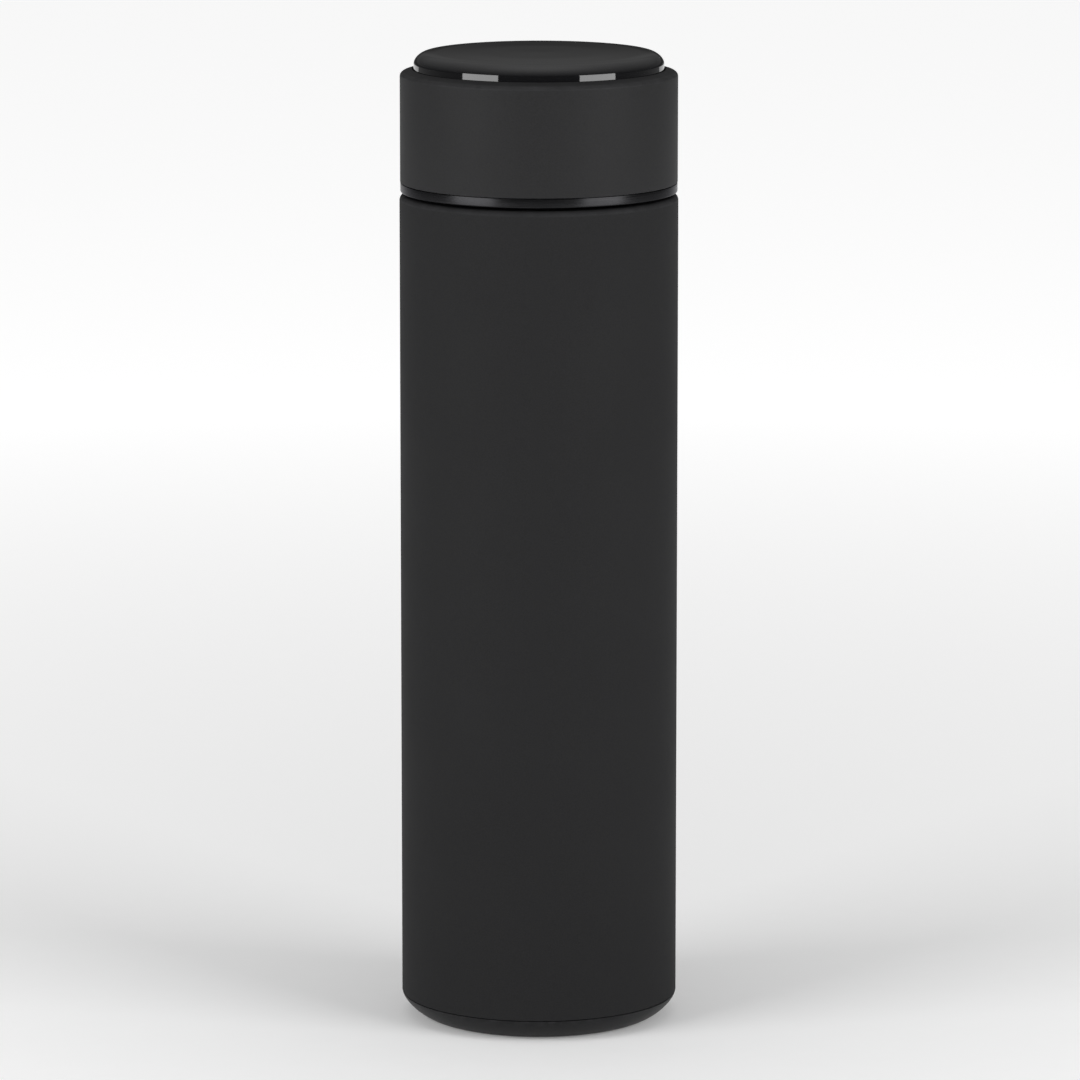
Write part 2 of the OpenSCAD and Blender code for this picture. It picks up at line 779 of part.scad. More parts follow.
// Two spring strips: one under the cell and one over it, each up to the board
module battery_contacts() {
    cell_top = cell_z + cell_h;
    low_z = cell_z - contact_t;
    leg_y = holder_r + 0.3;
    end_in = 2;
    color([0.85, 0.80, 0.60]) {
        translate([-contact_w / 2, 0, low_z]) cube([contact_w, leg_y, contact_t]);
        translate([-contact_w / 2, leg_y - contact_t, low_z])
            cube([contact_w, contact_t, board_z - low_z]);
        translate([-contact_w / 2, end_in - cell_r, cell_top])
            cube([contact_w, cell_r - 2 * end_in, contact_t]);
        translate([-contact_w / 2, end_in - cell_r, cell_top])
            cube([contact_w, contact_t, board_z - cell_top]);
    }
}

// Pan-head screws that hold the board on its bosses
module board_screws() {
    color([0.75, 0.75, 0.77]) ring_of(screw_count, board_screw_at, 90) difference() {
        union() {
            translate([0, 0, board_top]) cylinder(r = pan_r, h = pan_h, $fn = small_fn);
            translate([0, 0, board_top - board_screw_l + tip_gap])
                cylinder(r = screw_r, h = board_screw_l, $fn = small_fn);
        }
        cross_slot(board_top + pan_h);
    }
}

// Cross recess in a screw's head
module cross_slot(top) {
    arm = 2;
    slot_w = 0.4;
    depth = 0.6;
    for (turn = [0, 90])
        rotate(turn)
            translate([-arm / 2, -slot_w / 2, top - depth])
            cube([arm, slot_w, depth + overlap]);
}

// Moulded plug: thread, flange over the rim, seal groove, floor and screw bosses
module threaded_plug() {
    cup_hole = cup_r + cup_clear;
    foot_chamfer = 0.6;
    lead_in = 0.4;
    outline = [
        [cup_hole, plug_foot],
        [lip_r - foot_chamfer, plug_foot],
        [lip_r, plug_foot + foot_chamfer],
        [lip_r, groove_z],
        [groove_r, groove_z],
        [groove_r, groove_top],
        [plug_r - lead_in, groove_top],
        [plug_r, groove_top + lead_in],
        [plug_r, rim_z + rim_clear],
        [flange_r, rim_z + rim_clear],
        [flange_r, deck_z],
        [cavity_r, deck_z],
        [cavity_r, cavity_step_z],
        [cavity_low_r, groove_top - 0.2],
        [cavity_low_r, plug_floor],
        [cup_hole, plug_floor]
    ];
    color([0.13, 0.13, 0.14]) {
        difference() {
            union() {
                turned(outline);
                ring_of(screw_count, plug_screw_at, 60)
                    translate([0, 0, cavity_step_z - overlap / 2])
                    cylinder(r = boss_r, h = deck_z - cavity_step_z + overlap / 2, $fn = small_fn);
            }
            ring_of(screw_count, plug_screw_at, 60)
                translate([0, 0, deck_top - plug_screw_l])
                cylinder(r = screw_r + screw_clear, h = plug_screw_l, $fn = small_fn);
        }
        ridge(plug_r - thread_embed, plug_crest, plug_thread_z, plug_thread_start);
    }
}

// Countersunk screws that hold the plug under the deck
module plug_screws() {
    depth = sunk_r - screw_r;
    color([0.75, 0.75, 0.77]) ring_of(screw_count, plug_screw_at, 60) difference() {
        union() {
            translate([0, 0, deck_top - depth - fit_gap])
                cylinder(r1 = screw_r, r2 = sunk_r, h = depth, $fn = small_fn);
            translate([0, 0, deck_top - plug_screw_l + tip_gap])
                cylinder(r = screw_r, h = plug_screw_l - depth, $fn = small_fn);
        }
        cross_slot(deck_top - fit_gap);
    }
}

// Foam that fills the plug round the leads and the screw bosses
module insulation_foam() {
    low_z = cup_flange_z + cup_t + foam_clear;
    wide_z = cavity_step_z + foam_clear;
    core_hole_r = lead_pitch + lead_room;
    outline = [
        [core_hole_r, low_z],
        [cavity_low_r - foam_clear, low_z],
        [cavity_low_r - foam_clear, groove_top],
        [cavity_r - foam_clear, wide_z],
        [cavity_r - foam_clear, foam_top],
        [core_hole_r, foam_top]
    ];
    color([0.88, 0.86, 0.78]) difference() {
        turned(outline);
        ring_of(screw_count, plug_screw_at, 60)
            translate([0, 0, groove_top - overlap])
            cylinder(r = boss_r + foam_clear, h = foam_top, $fn = small_fn);
    }
}

// Steel cup that dips below the plug and holds the thermistor
module sensor_cup() {
    corner = 1;
    in_r = cup_r - cup_t;
    in_corner = corner - cup_t;
    outline = concat(
        [[0, cup_foot]],
        reversed(edge(cup_r, cup_foot + corner, cup_r - corner, cup_foot)),
        [[cup_r, cup_flange_z], [cup_flange_r, cup_flange_z], [cup_flange_r, cup_flange_z + cup_t]],
        [[in_r, cup_flange_z + cup_t]],
        edge(in_r, cup_foot + corner, in_r - in_corner, cup_foot + cup_t),
        [[0, cup_foot + cup_t]]
    );
    color([0.78, 0.79, 0.81]) turned(outline);
}

// Silicone gasket between the sensor cup's flange and the plug's floor
module sensor_gasket() {
    color([0.80, 0.80, 0.78]) difference() {
        translate([0, 0, plug_floor]) cylinder(r = cup_flange_r - gasket_in, h = gasket_t);
        translate([0, 0, plug_floor - overlap])
            cylinder(r = cup_r + cup_clear, h = gasket_t + 2 * overlap);
    }
}

// Thermistor bead that stands on the cup's floor
module thermistor() {
    foot = cup_foot + cup_t;
    top = foot + bead_l;
    foot_round = 0.6;
    chamfer = 0.4;
    outline = concat(
        [[0, foot]],
        reversed(edge(bead_r, foot + foot_round, bead_r - foot_round, foot)),
        [[bead_r, top - chamfer], [bead_r - chamfer, top], [0, top]]
    );
    color([0.10, 0.10, 0.10]) rotate_extrude($fn = small_fn) polygon(outline);
}

// Two leads: up through the foam, across under the deck and up to the board
module sensor_leads() {
    foot = cup_foot + cup_t + bead_l;
    steps = 4;
    low_bend = [
        for (i = [0:steps])
            let (a = 180 - 90 * i / steps)
            [lead_bend + lead_bend * cos(a), lead_turn_z - lead_bend + lead_bend * sin(a)]
    ];
    high_bend = [
        for (i = [0:steps])
            let (a = 270 + 90 * i / steps)
            [lead_x - lead_bend + lead_bend * cos(a), lead_turn_z + lead_bend + lead_bend * sin(a)]
    ];
    path = concat([[0, foot]], low_bend, high_bend, [[lead_x, board_z]]);
    color([0.60, 0.10, 0.08])
        for (side = [-1, 1]) wire(path, side * lead_pitch / 2, lead_r);
}

outer_shell();
inner_liner();
outer_bottom();
seal_bead();
getter();
base_cover();
plug_seal();
cap_sleeve();
trim_ring();
lid_core();
display_lens();
lens_tape();
circuit_board();
led_display();
controller_chip();
touch_spring();
battery_holder();
coin_cell();
battery_contacts();
board_screws();
threaded_plug();
plug_screws();
insulation_foam();
sensor_cup();
sensor_gasket();
thermistor();
sensor_leads();
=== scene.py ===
# %% [markdown]
# # A vacuum flask, dressed for the camera
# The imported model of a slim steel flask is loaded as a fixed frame. Every piece made here sits
# in that frame, in metres, and rides on one of its bodies: the flask, the seal or the lid.

# %% Load the frame
import bmesh
import bpy
import json
import math
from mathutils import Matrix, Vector


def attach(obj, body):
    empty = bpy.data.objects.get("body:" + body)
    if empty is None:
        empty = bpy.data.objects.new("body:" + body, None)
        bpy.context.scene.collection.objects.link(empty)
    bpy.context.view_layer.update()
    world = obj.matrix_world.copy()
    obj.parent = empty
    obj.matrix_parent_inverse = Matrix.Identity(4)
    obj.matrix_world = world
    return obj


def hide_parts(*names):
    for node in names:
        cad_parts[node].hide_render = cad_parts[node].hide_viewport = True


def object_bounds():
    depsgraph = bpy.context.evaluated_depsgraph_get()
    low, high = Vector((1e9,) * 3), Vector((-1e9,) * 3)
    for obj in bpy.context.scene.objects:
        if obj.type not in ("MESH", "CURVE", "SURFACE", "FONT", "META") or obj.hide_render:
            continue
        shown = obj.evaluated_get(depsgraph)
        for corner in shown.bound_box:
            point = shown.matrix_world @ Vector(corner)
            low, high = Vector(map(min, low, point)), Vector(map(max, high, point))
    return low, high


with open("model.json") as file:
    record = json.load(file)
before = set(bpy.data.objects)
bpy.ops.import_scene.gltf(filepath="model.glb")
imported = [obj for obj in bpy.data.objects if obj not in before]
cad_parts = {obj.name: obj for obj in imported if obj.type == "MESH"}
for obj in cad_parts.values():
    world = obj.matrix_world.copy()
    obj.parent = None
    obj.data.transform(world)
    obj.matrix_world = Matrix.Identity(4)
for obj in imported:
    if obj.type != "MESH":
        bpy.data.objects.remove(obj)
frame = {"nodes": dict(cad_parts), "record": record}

nodes = frame["nodes"]
cad_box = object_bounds()
MM = 0.001
print("pieces in the frame:", len(nodes))

# %% [markdown]
# ## Reading an outline
# Almost every shell of a flask is turned: one outline swept once round the axis. The frame's
# mesh holds that outline where it crosses the half plane y = 0, so it is read from there. The
# new piece then agrees with the frame to the micrometre, and no size is typed twice. A copy
# is merged first, because the frame's own mesh is loose triangles.

# %% Outline of a turned node
SAME_PLACE = 1e-6


def outline_of(node):
    """A turned node's outline as (radius, height) points. A closed one repeats its first."""
    copy = bmesh.new()
    copy.from_mesh(nodes[node].data)
    bmesh.ops.remove_doubles(copy, verts=copy.verts, dist=SAME_PLACE)
    on_plane = {v for v in copy.verts if abs(v.co.y) < SAME_PLACE and v.co.x > -SAME_PLACE}
    links = {v: [] for v in on_plane}
    for edge in copy.edges:
        a, b = edge.verts
        if a in on_plane and b in on_plane:
            links[a].append(b)
            links[b].append(a)
    links = {v: others for v, others in links.items() if others}
    ends = [v for v, others in links.items() if len(others) == 1]
    start = min(ends or links, key=lambda v: (v.co.x, v.co.z))
    chain = [start]
    seen = {start}
    while True:
        onward = [v for v in links[chain[-1]] if v not in seen]
        if not onward:
            break
        chain.append(onward[0])
        seen.add(onward[0])
    if not ends:
        chain.append(start)
    points = [Vector((max(v.co.x, 0.0), v.co.z)) for v in chain]
    copy.free()
    if ends:
        points = to_axis(points[0]) + points + to_axis(points[-1])
    return points


def to_axis(end):
    """A flat disc has no point on the axis in the frame's mesh, so its outline gets one."""
    return [Vector((0.0, end.y))] if end.x > SAME_PLACE else []


for name in ("outer_shell", "display_lens"):
    print(name, "outline points:", len(outline_of(name)))

# %% [markdown]
# ## Softening the corners
# No real edge is perfectly sharp. Pressed steel, moulded plastic and paint all leave a small
# round that catches the light, so each corner of an outline gets a short curve. A Bevel
# modifier could do it on the finished mesh, but on an outline it costs a few points only.

# %% Rounded corners on an outline
CORNER_STEPS = 4
CORNER_SHARE = 0.45
SHARP_CORNER = math.radians(24)
PRESSED_CORNER = 0.15 * MM
MOULDED_CORNER = 0.20 * MM


def softened(points, radius):
    """The same outline with a round of that radius, in metres, at each sharp corner."""
    closed = (points[0] - points[-1]).length < SAME_PLACE
    ring = points[:-1] if closed else points
    count = len(ring)
    result = []
    for i, p in enumerate(ring):
        if not closed and i in (0, count - 1):
            result.append(p)
            continue
        before = ring[i - 1] - p
        after = ring[(i + 1) % count] - p
        turn = math.pi - before.angle(after)
        if turn < SHARP_CORNER:
            result.append(p)
            continue
        reach = min(radius * math.tan(turn / 2), CORNER_SHARE * before.length,
                    CORNER_SHARE * after.length)
        a = p + before.normalized() * reach
        b = p + after.normalized() * reach
        for step in range(CORNER_STEPS + 1):
            t = step / CORNER_STEPS
            result.append(a * (1 - t) ** 2 + p * 2 * t * (1 - t) + b * t ** 2)
    if closed:
        result.append(result[0].copy())
    return result


for name, corner in (("outer_shell", PRESSED_CORNER), ("display_lens", MOULDED_CORNER)):
    print(name, "points when softened:", len(softened(outline_of(name), corner)))

# %% [markdown]
# ## Where handling shows
# Paint and metal wear first where a surface bends tightly. Each point of an outline gets a
# weight from its curvature, and the weight goes with the mesh as an attribute, so a material
# can polish or thin the paint just there.

# %% Edge weight and length along an outline
WORN_RADIUS = 2.5 * MM


def edge_weights(points):
    """A weight from 0 to 1 for each point: 1 where the outline bends tighter than WORN_RADIUS."""
    weights = [0.0] * len(points)
    for i in range(1, len(points) - 1):
        before = points[i] - points[i - 1]
        after = points[i + 1] - points[i]
        if min(before.length, after.length) < SAME_PLACE:
            continue
        bend = before.angle(after) / (0.5 * (before.length + after.length))
        weights[i] = min(1.0, bend * WORN_RADIUS)
    return weights


def lengths_along(points):
    """The distance from the first point to each point, along the outline."""
    total = 0.0
    result = [0.0]
    for a, b in zip(points, points[1:]):
        total += (b - a).length
        result.append(total)
    return result


for name in ("outer_shell", "display_lens"):
    print(name, "outline length, mm:", round(lengths_along(outline_of(name))[-1] / MM, 1))

# %% [markdown]
# ## Short calls for nodes
# Shapes, finishes and the studio's light are all node trees here, and a tree in plain Blender
# calls is mostly adding and linking. This class keeps those calls short. A value is either a
# number, which is set on a socket, or another node's output, which is linked to it.

# %% Node tree helper
class NodeTree:
    """One tree, of geometry, of a material or of the world."""

    def __init__(self, tree):
        self.tree = tree

    def add(self, kind, **settings):
        node = self.tree.nodes.new(kind)
        for key, value in settings.items():
            setattr(node, key, value)
        return node

    def link(self, a, b):
        self.tree.links.new(a, b)

    def feed(self, node, *values):
        """Gives a node's first inputs a number each, or a link. Returns its first output."""
        for socket, value in zip(node.inputs, values):
            if isinstance(value, (int, float)):
                socket.default_value = value
            else:
                self.link(value, socket)
        return node.outputs[0]

    def maths(self, operation, *values):
        return self.feed(self.add("ShaderNodeMath", operation=operation), *values)


# %% [markdown]
# ## A helper for Geometry Nodes
# Three trees follow: a lathe, a thread and a ring of copies. Each has named inputs for its
# sizes, places things round the axis, and ends in real geometry with a material on it.

# %% Geometry recipe
class Recipe(NodeTree):
    """A Geometry Nodes tree with named inputs and one output, the piece."""

    def __init__(self, name, **inputs):
        super().__init__(bpy.data.node_groups.new(name, "GeometryNodeTree"))
        sockets = self.tree.interface
        for label, kind in inputs.items():
            sockets.new_socket(label.replace("_", " "), in_out="INPUT",
                               socket_type="NodeSocket" + kind)
        sockets.new_socket("Piece", in_out="OUTPUT", socket_type="NodeSocketGeometry")
        self.given = self.add("NodeGroupInput").outputs

    def round_axis(self, radius, angle, height):
        """The place at that radius, angle and height."""
        return self.feed(self.add("ShaderNodeCombineXYZ"),
                         self.maths("MULTIPLY", radius, self.maths("COSINE", angle)),
                         self.maths("MULTIPLY", radius, self.maths("SINE", angle)), height)

    def made_real(self, geometry):
        node = self.add("GeometryNodeRealizeInstances")
        self.link(geometry, node.inputs[0])
        return node.outputs[0]

    def finished(self, geometry, finish, where=None):
        """Sets the material, on the faces that where picks or on all of them."""
        node = self.add("GeometryNodeSetMaterial")
        self.link(geometry, node.inputs["Geometry"])
        self.link(finish, node.inputs["Material"])
        if where is not None:
            self.link(where, node.inputs["Selection"])
        return node.outputs[0]

    def done(self, geometry):
        result = self.add("NodeGroupOutput")
        self.link(geometry, result.inputs["Piece"])
        print(self.tree.name, "nodes:", len(self.tree.nodes))
        return self.tree


# %% [markdown]
# ## Sweeping an outline
# The lathe and the thread start alike, with a flat grid that has one column for each step and
# one row for each point of an outline. Then each grid point moves to its place. They end
# alike too: doubles merged, which closes seams and poles, smooth faces and crisp edges.

# %% Sweep helper
SHARP_EDGE = math.radians(38)


class Sweep(Recipe):
    """A recipe that carries an outline along a path, on a grid."""

    def whole(self, operation, *values):
        return self.feed(self.add("FunctionNodeIntegerMath", operation=operation), *values)

    def sheet(self, outline, steps):
        """A flat grid for an outline. Returns its mesh and each point's share of the way."""
        size = self.add("GeometryNodeAttributeDomainSize", component="MESH")
        self.link(outline, size.inputs["Geometry"])
        rows = size.outputs["Point Count"]
        grid = self.add("GeometryNodeMeshGrid")
        self.link(self.whole("ADD", steps, 1), grid.inputs["Vertices X"])
        self.link(rows, grid.inputs["Vertices Y"])
        index = self.add("GeometryNodeInputIndex").outputs[0]
        self.outline = outline
        self.row = self.whole("MODULO", index, rows)
        return grid.outputs["Mesh"], self.maths("DIVIDE", self.whole("DIVIDE", index, rows), steps)

    def sampled(self, data_type, value):
        """A value of the outline's own point, for each point of the grid."""
        node = self.add("GeometryNodeSampleIndex", data_type=data_type, domain="POINT")
        self.link(self.outline, node.inputs["Geometry"])
        self.link(value, node.inputs["Value"])
        self.link(self.row, node.inputs["Index"])
        return node.outputs[0]

    def outline_point(self):
        """The radius and the height of the outline's point."""
        place = self.add("GeometryNodeInputPosition").outputs[0]
        parts = self.add("ShaderNodeSeparateXYZ")
        self.link(self.sampled("FLOAT_VECTOR", place), parts.inputs[0])
        return parts.outputs[0], parts.outputs[2]

    def named(self, name):
        node = self.add("GeometryNodeInputNamedAttribute", data_type="FLOAT")
        node.inputs["Name"].default_value = name
        return node.outputs["Attribute"]

    def placed(self, mesh, place):
        node = self.add("GeometryNodeSetPosition")
        self.link(mesh, node.inputs["Geometry"])
        self.link(place, node.inputs["Position"])
        return node.outputs[0]

    def stored(self, geometry, name, value):
        """Keeps a number for each point, which a material can read by name."""
        node = self.add("GeometryNodeStoreNamedAttribute", data_type="FLOAT", domain="POINT")
        node.inputs["Name"].default_value = name
        self.link(geometry, node.inputs["Geometry"])
        self.link(value, node.inputs["Value"])
        return node.outputs[0]

    def skinned(self, geometry):
        """Closes seams and poles, smooths the faces and keeps the sharp edges crisp."""
        merge = self.add("GeometryNodeMergeByDistance")
        merge.inputs["Distance"].default_value = SAME_PLACE
        self.link(geometry, merge.inputs["Geometry"])
        smooth = self.add("GeometryNodeSetShadeSmooth", domain="FACE")
        self.link(merge.outputs[0], smooth.inputs["Geometry"])
        bend = self.add("GeometryNodeInputMeshEdgeAngle").outputs["Unsigned Angle"]
        crisp = self.add("GeometryNodeSetShadeSmooth", domain="EDGE")
        crisp.inputs["Shade Smooth"].default_value = False
        self.link(smooth.outputs[0], crisp.inputs["Geometry"])
        self.link(self.maths("GREATER_THAN", bend, SHARP_EDGE), crisp.inputs["Selection"])
        return crisp.outputs[0]


# %% [markdown]
# ## A lathe in Geometry Nodes
# A turned piece follows one rule: every point of the outline goes round the axis. The tree
# also hands on two numbers that the outline carries for the materials: the length along it and
# the weight of its edges. A second finish can take over above a given height, as where a
# painted shell ends in a bare neck.

# %% The lathe's node tree
def lathe_tree():
    lathe = Sweep("Lathe", Outline="Geometry", Steps_round="Int", Finish="Material",
                  Bare_above="Float", Bare_finish="Material")
    given = lathe.given
    mesh, share = lathe.sheet(given["Outline"], given["Steps round"])
    radius, height = lathe.outline_point()
    place = lathe.round_axis(radius, lathe.maths("MULTIPLY", share, math.tau), height)
    shape = lathe.placed(mesh, place)
    for label in ("along", "edge"):
        shape = lathe.stored(shape, label, lathe.sampled("FLOAT", lathe.named(label)))
    shape = lathe.made_real(lathe.skinned(shape))
    shape = lathe.finished(shape, given["Finish"])
    parts = lathe.add("ShaderNodeSeparateXYZ")
    lathe.link(lathe.add("GeometryNodeInputPosition").outputs[0], parts.inputs[0])
    bare = lathe.maths("GREATER_THAN", parts.outputs[2], given["Bare above"])
    return lathe.done(lathe.finished(shape, given["Bare finish"], bare))


LATHE = lathe_tree()

# %% [markdown]
# ## A thread in Geometry Nodes
# A thread is a small section that goes round and climbs at once, so it is the lathe's rule
# with a lead added. Both ends shrink to a point, as a rolled thread runs out into its wall.
# A boolean or a Screw modifier gives the same ridge, but not the run-out.

# %% The thread's node tree
def thread_tree():
    thread = Sweep("Thread", Section="Geometry", Root_radius="Float", Start_height="Float",
                   Start_angle="Float", Turns="Float", Lead="Float", Run_out="Float",
                   Steps="Int", Finish="Material")
    given = thread.given
    mesh, share = thread.sheet(given["Section"], given["Steps"])
    out, up = thread.outline_point()
    to_end = thread.maths("MINIMUM", share, thread.maths("SUBTRACT", 1.0, share))
    full = thread.maths("MINIMUM", thread.maths("DIVIDE", to_end, given["Run out"]), 1.0)
    turns = thread.maths("MULTIPLY", share, given["Turns"])
    angle = thread.maths("MULTIPLY_ADD", turns, math.tau, given["Start angle"])
    radius = thread.maths("MULTIPLY_ADD", out, full, given["Root radius"])
    climb = thread.maths("MULTIPLY_ADD", turns, given["Lead"], given["Start height"])
    height = thread.maths("MULTIPLY_ADD", up, full, climb)
    shape = thread.placed(mesh, thread.round_axis(radius, angle, height))
    shape = thread.stored(shape, "along", up)
    shape = thread.made_real(thread.skinned(shape))
    return thread.done(thread.finished(shape, given["Finish"]))


THREAD = thread_tree()

# %% [markdown]
# ## A ring of copies
# Screws sit evenly round a circle. The tree puts a point at each place, sets a copy on it,
# turned to face outwards, and makes the copies real, because an export would lose instances.

# %% The ring's node tree
def ring_tree():
    ring = Recipe("Ring of copies", Part="Geometry", Copies="Int", Radius="Float",
                  First_angle="Float", Finish="Material")
    given = ring.given
    points = ring.add("GeometryNodePoints")
    ring.link(given["Copies"], points.inputs["Count"])
    share = ring.maths("DIVIDE", ring.add("GeometryNodeInputIndex").outputs[0], given["Copies"])
    angle = ring.maths("MULTIPLY_ADD", share, math.tau, given["First angle"])
    ring.link(ring.round_axis(given["Radius"], angle, 0.0), points.inputs["Position"])
    copies = ring.add("GeometryNodeInstanceOnPoints")
    ring.link(points.outputs[0], copies.inputs["Points"])
    ring.link(given["Part"], copies.inputs["Instance"])
    outwards = ring.add("GeometryNodeInputPosition").outputs[0]
    aim = ring.add("FunctionNodeAlignRotationToVector", axis="X", pivot_axis="Z")
    ring.link(outwards, aim.inputs["Vector"])
    ring.link(aim.outputs[0], copies.inputs["Rotation"])
    return ring.done(ring.finished(ring.made_real(copies.outputs[0]), given["Finish"]))


RING = ring_tree()

# %% [markdown]
# ## Plain meshes
# What a tree grows is kept as a plain mesh, with no modifier left on it. The normals are
# recalculated, because the direction in which an outline happens to run decides which side of
# the grid faces out. Slots that hold no material come with the grid, and are dropped.

# %% Plain mesh objects
def new_object(name, data):
    """An object in the scene for a mesh, a light or a camera."""
    result = bpy.data.objects.new(name, data)
    bpy.context.scene.collection.objects.link(result)
    return result


def drop_empty_slots(mesh):
    """Takes out the material slots that hold nothing, and renumbers the faces to match."""
    slots = list(mesh.materials)
    filled = [slot for slot in slots if slot]
    numbers = [0] * len(mesh.polygons)
    mesh.polygons.foreach_get("material_index", numbers)
    mesh.materials.clear()
    for slot in filled:
        mesh.materials.append(slot)
    kept = [filled.index(slots[i]) if slots and slots[i] else 0 for i in numbers]
    mesh.polygons.foreach_set("material_index", kept)


def plain_mesh(piece, name):
    """Turns a piece with modifiers into a plain mesh object at the origin."""
    bpy.context.view_layer.update()
    graph = bpy.context.evaluated_depsgraph_get()
    mesh = bpy.data.meshes.new_from_object(piece.evaluated_get(graph), depsgraph=graph,
                                           preserve_all_data_layers=True)
    bpy.data.objects.remove(piece)
    mesh.name = name
    drop_empty_slots(mesh)
    work = bmesh.new()
    work.from_mesh(mesh)
    bmesh.ops.recalc_face_normals(work, faces=work.faces)
    work.to_mesh(mesh)
    work.free()
    return new_object(name, mesh)


def joined(name, pieces):
    """One plain mesh object from several, which are used up."""
    work = bmesh.new()
    for piece in pieces:
        work.from_mesh(piece.data)
    mesh = bpy.data.meshes.new(name)
    mesh.materials.append(pieces[0].data.materials[0])
    for piece in pieces:
        bpy.data.objects.remove(piece)
    work.to_mesh(mesh)
    work.free()
    return new_object(name, mesh)


# %% [markdown]
# ## Using the trees
# The outline becomes a small mesh of points and edges, which carries the two numbers for the
# materials. A tree on a modifier turns it, and the result becomes a plain mesh.

# %% Turn a piece
STEPS_ROUND = 240
ALL_COVERED = 1.0  # a height above everything, so that no part of a piece is left bare


def grown(name, mesh, tree, **inputs):
    """A plain mesh object from a mesh, a tree and the tree's inputs."""
    piece = new_object(name + "_start", mesh)
    modifier = piece.modifiers.new(tree.name, "NODES")
    modifier.node_group = tree
    for item in tree.interface.items_tree:
        label = item.name.replace(" ", "_")
        if item.item_type == "SOCKET" and item.in_out == "INPUT" and label in inputs:
            modifier[item.identifier] = inputs[label]
    result = plain_mesh(piece, name)
    print(f"{name}: {len(result.data.polygons)} faces")
    return result


def outline_mesh(name, points):
    """A mesh of points and edges from (radius, height) points in metres."""
    mesh = bpy.data.meshes.new(name + "_outline")
    pairs = [(i, i + 1) for i in range(len(points) - 1)]
    mesh.from_pydata([(p.x, 0.0, p.y) for p in points], pairs, [])
    for key, values in (("along", lengths_along(points)), ("edge", edge_weights(points))):
        mesh.attributes.new(key, "FLOAT", "POINT").data.foreach_set("value", values)
    return mesh


def turned(name, points, finish, steps=STEPS_ROUND, bare_above=ALL_COVERED, bare_finish=None):
    """A turned piece from an outline, with a bare finish above a height if one is given."""
    return grown(name, outline_mesh(name, points), LATHE, Steps_round=steps, Finish=finish,
                 Bare_above=bare_above, Bare_finish=bare_finish or finish)


# %% [markdown]
# ## Building materials
# Every finish here is a Principled shader with patterns in front of it. This small helper
# keeps one material's nodes together, and sets plain values on the shader's own sockets,
# where the export can read them. Most of a noise lies between 0.3 and 0.7, so that is the
# span that a pattern is stretched from unless a finish asks for another.

# %% Material helper
NOISE_SPAN = (0.3, 0.7)


class Finish(NodeTree):
    """One material, with short calls for the nodes that its patterns need."""

    def __init__(self, name, colour, roughness, metallic=0.0, **values):
        self.material = bpy.data.materials.new(name)
        self.material.use_nodes = True
        super().__init__(self.material.node_tree)
        self.shader = self.tree.nodes["Principled BSDF"]
        self.set("Base Color", (*colour, 1.0))
        self.set("Roughness", roughness)
        self.set("Metallic", metallic)
        for key, value in values.items():
            self.set(key.replace("_", " "), value)
        self.material.diffuse_color = (*colour, 1.0)

    def set(self, socket, value):
        self.shader.inputs[socket].default_value = value

    def place(self, scale=(1, 1, 1)):
        """The piece's own coordinates, stretched by scale."""
        start = self.add("ShaderNodeTexCoord").outputs["Object"]
        mapping = self.add("ShaderNodeMapping")
        mapping.inputs["Scale"].default_value = scale
        self.link(start, mapping.inputs["Vector"])
        return mapping.outputs["Vector"]

    def noise(self, where, scale, detail, roughness):
        """Noise, with scale features in one unit of where."""
        node = self.add("ShaderNodeTexNoise")
        node.inputs["Scale"].default_value = scale
        node.inputs["Detail"].default_value = detail
        node.inputs["Roughness"].default_value = roughness
        self.link(where, node.inputs["Vector"])
        return node.outputs["Fac"]

    def spread(self, value, span=NOISE_SPAN, out=(0.0, 1.0)):
        """Maps the span onto out, and holds the ends."""
        node = self.add("ShaderNodeMapRange")
        for key, number in zip(("From Min", "From Max", "To Min", "To Max"), (*span, *out)):
            node.inputs[key].default_value = number
        self.link(value, node.inputs["Value"])
        return node.outputs["Result"]

    def mix_colour(self, share, a, b):
        node = self.add("ShaderNodeMix", data_type="RGBA")
        self.link(share, node.inputs["Factor"])
        for socket, value in ((node.inputs[6], a), (node.inputs[7], b)):
            if isinstance(value, tuple):
                socket.default_value = (*value, 1.0)
            else:
                self.link(value, socket)
        return node.outputs[2]

    def mottled(self, pattern, colour, low, high):
        """A colour that a pattern takes from low to high times its own brightness."""
        dark, light = (tuple(min(1.0, c * level) for c in colour) for level in (low, high))
        return self.mix_colour(pattern, dark, light)

    def stored(self, name):
        """A number that the lathe stored: "along" the outline, or the "edge" weight."""
        return self.add("ShaderNodeAttribute", attribute_name=name).outputs["Fac"]

    def roughness(self, value):
        self.link(value, self.shader.inputs["Roughness"])

    def base(self, value):
        self.link(value, self.shader.inputs["Base Color"])

    def bump(self, height, depth, strength):
        """Raises the surface by depth metres where height is 1."""
        node = self.add("ShaderNodeBump")
        node.inputs["Strength"].default_value = strength
        node.inputs["Distance"].default_value = depth
        self.link(height, node.inputs["Height"])
        self.link(node.outputs["Normal"], self.shader.inputs["Normal"])

    def done(self):
        print(self.material.name, "nodes:", len(self.tree.nodes))
        return self.material


# %% [markdown]
# ## Matte powder paint
# Body and cap wear a matte black powder coat that feels slightly soft. Close up it is a fine
# grain of tiny domes, and its sheen drifts a little over a hand's width. Hands polish it where
# it bends, so the rounded edges are a touch smoother and paler.

# %% Powder paint
GRAIN = 3200
GRAIN_DEPTH = 9e-6
DRIFT = 38
DRIFT_SHEEN = 0.03
TOUCHED = 9 * DRIFT
POLISH = 0.10


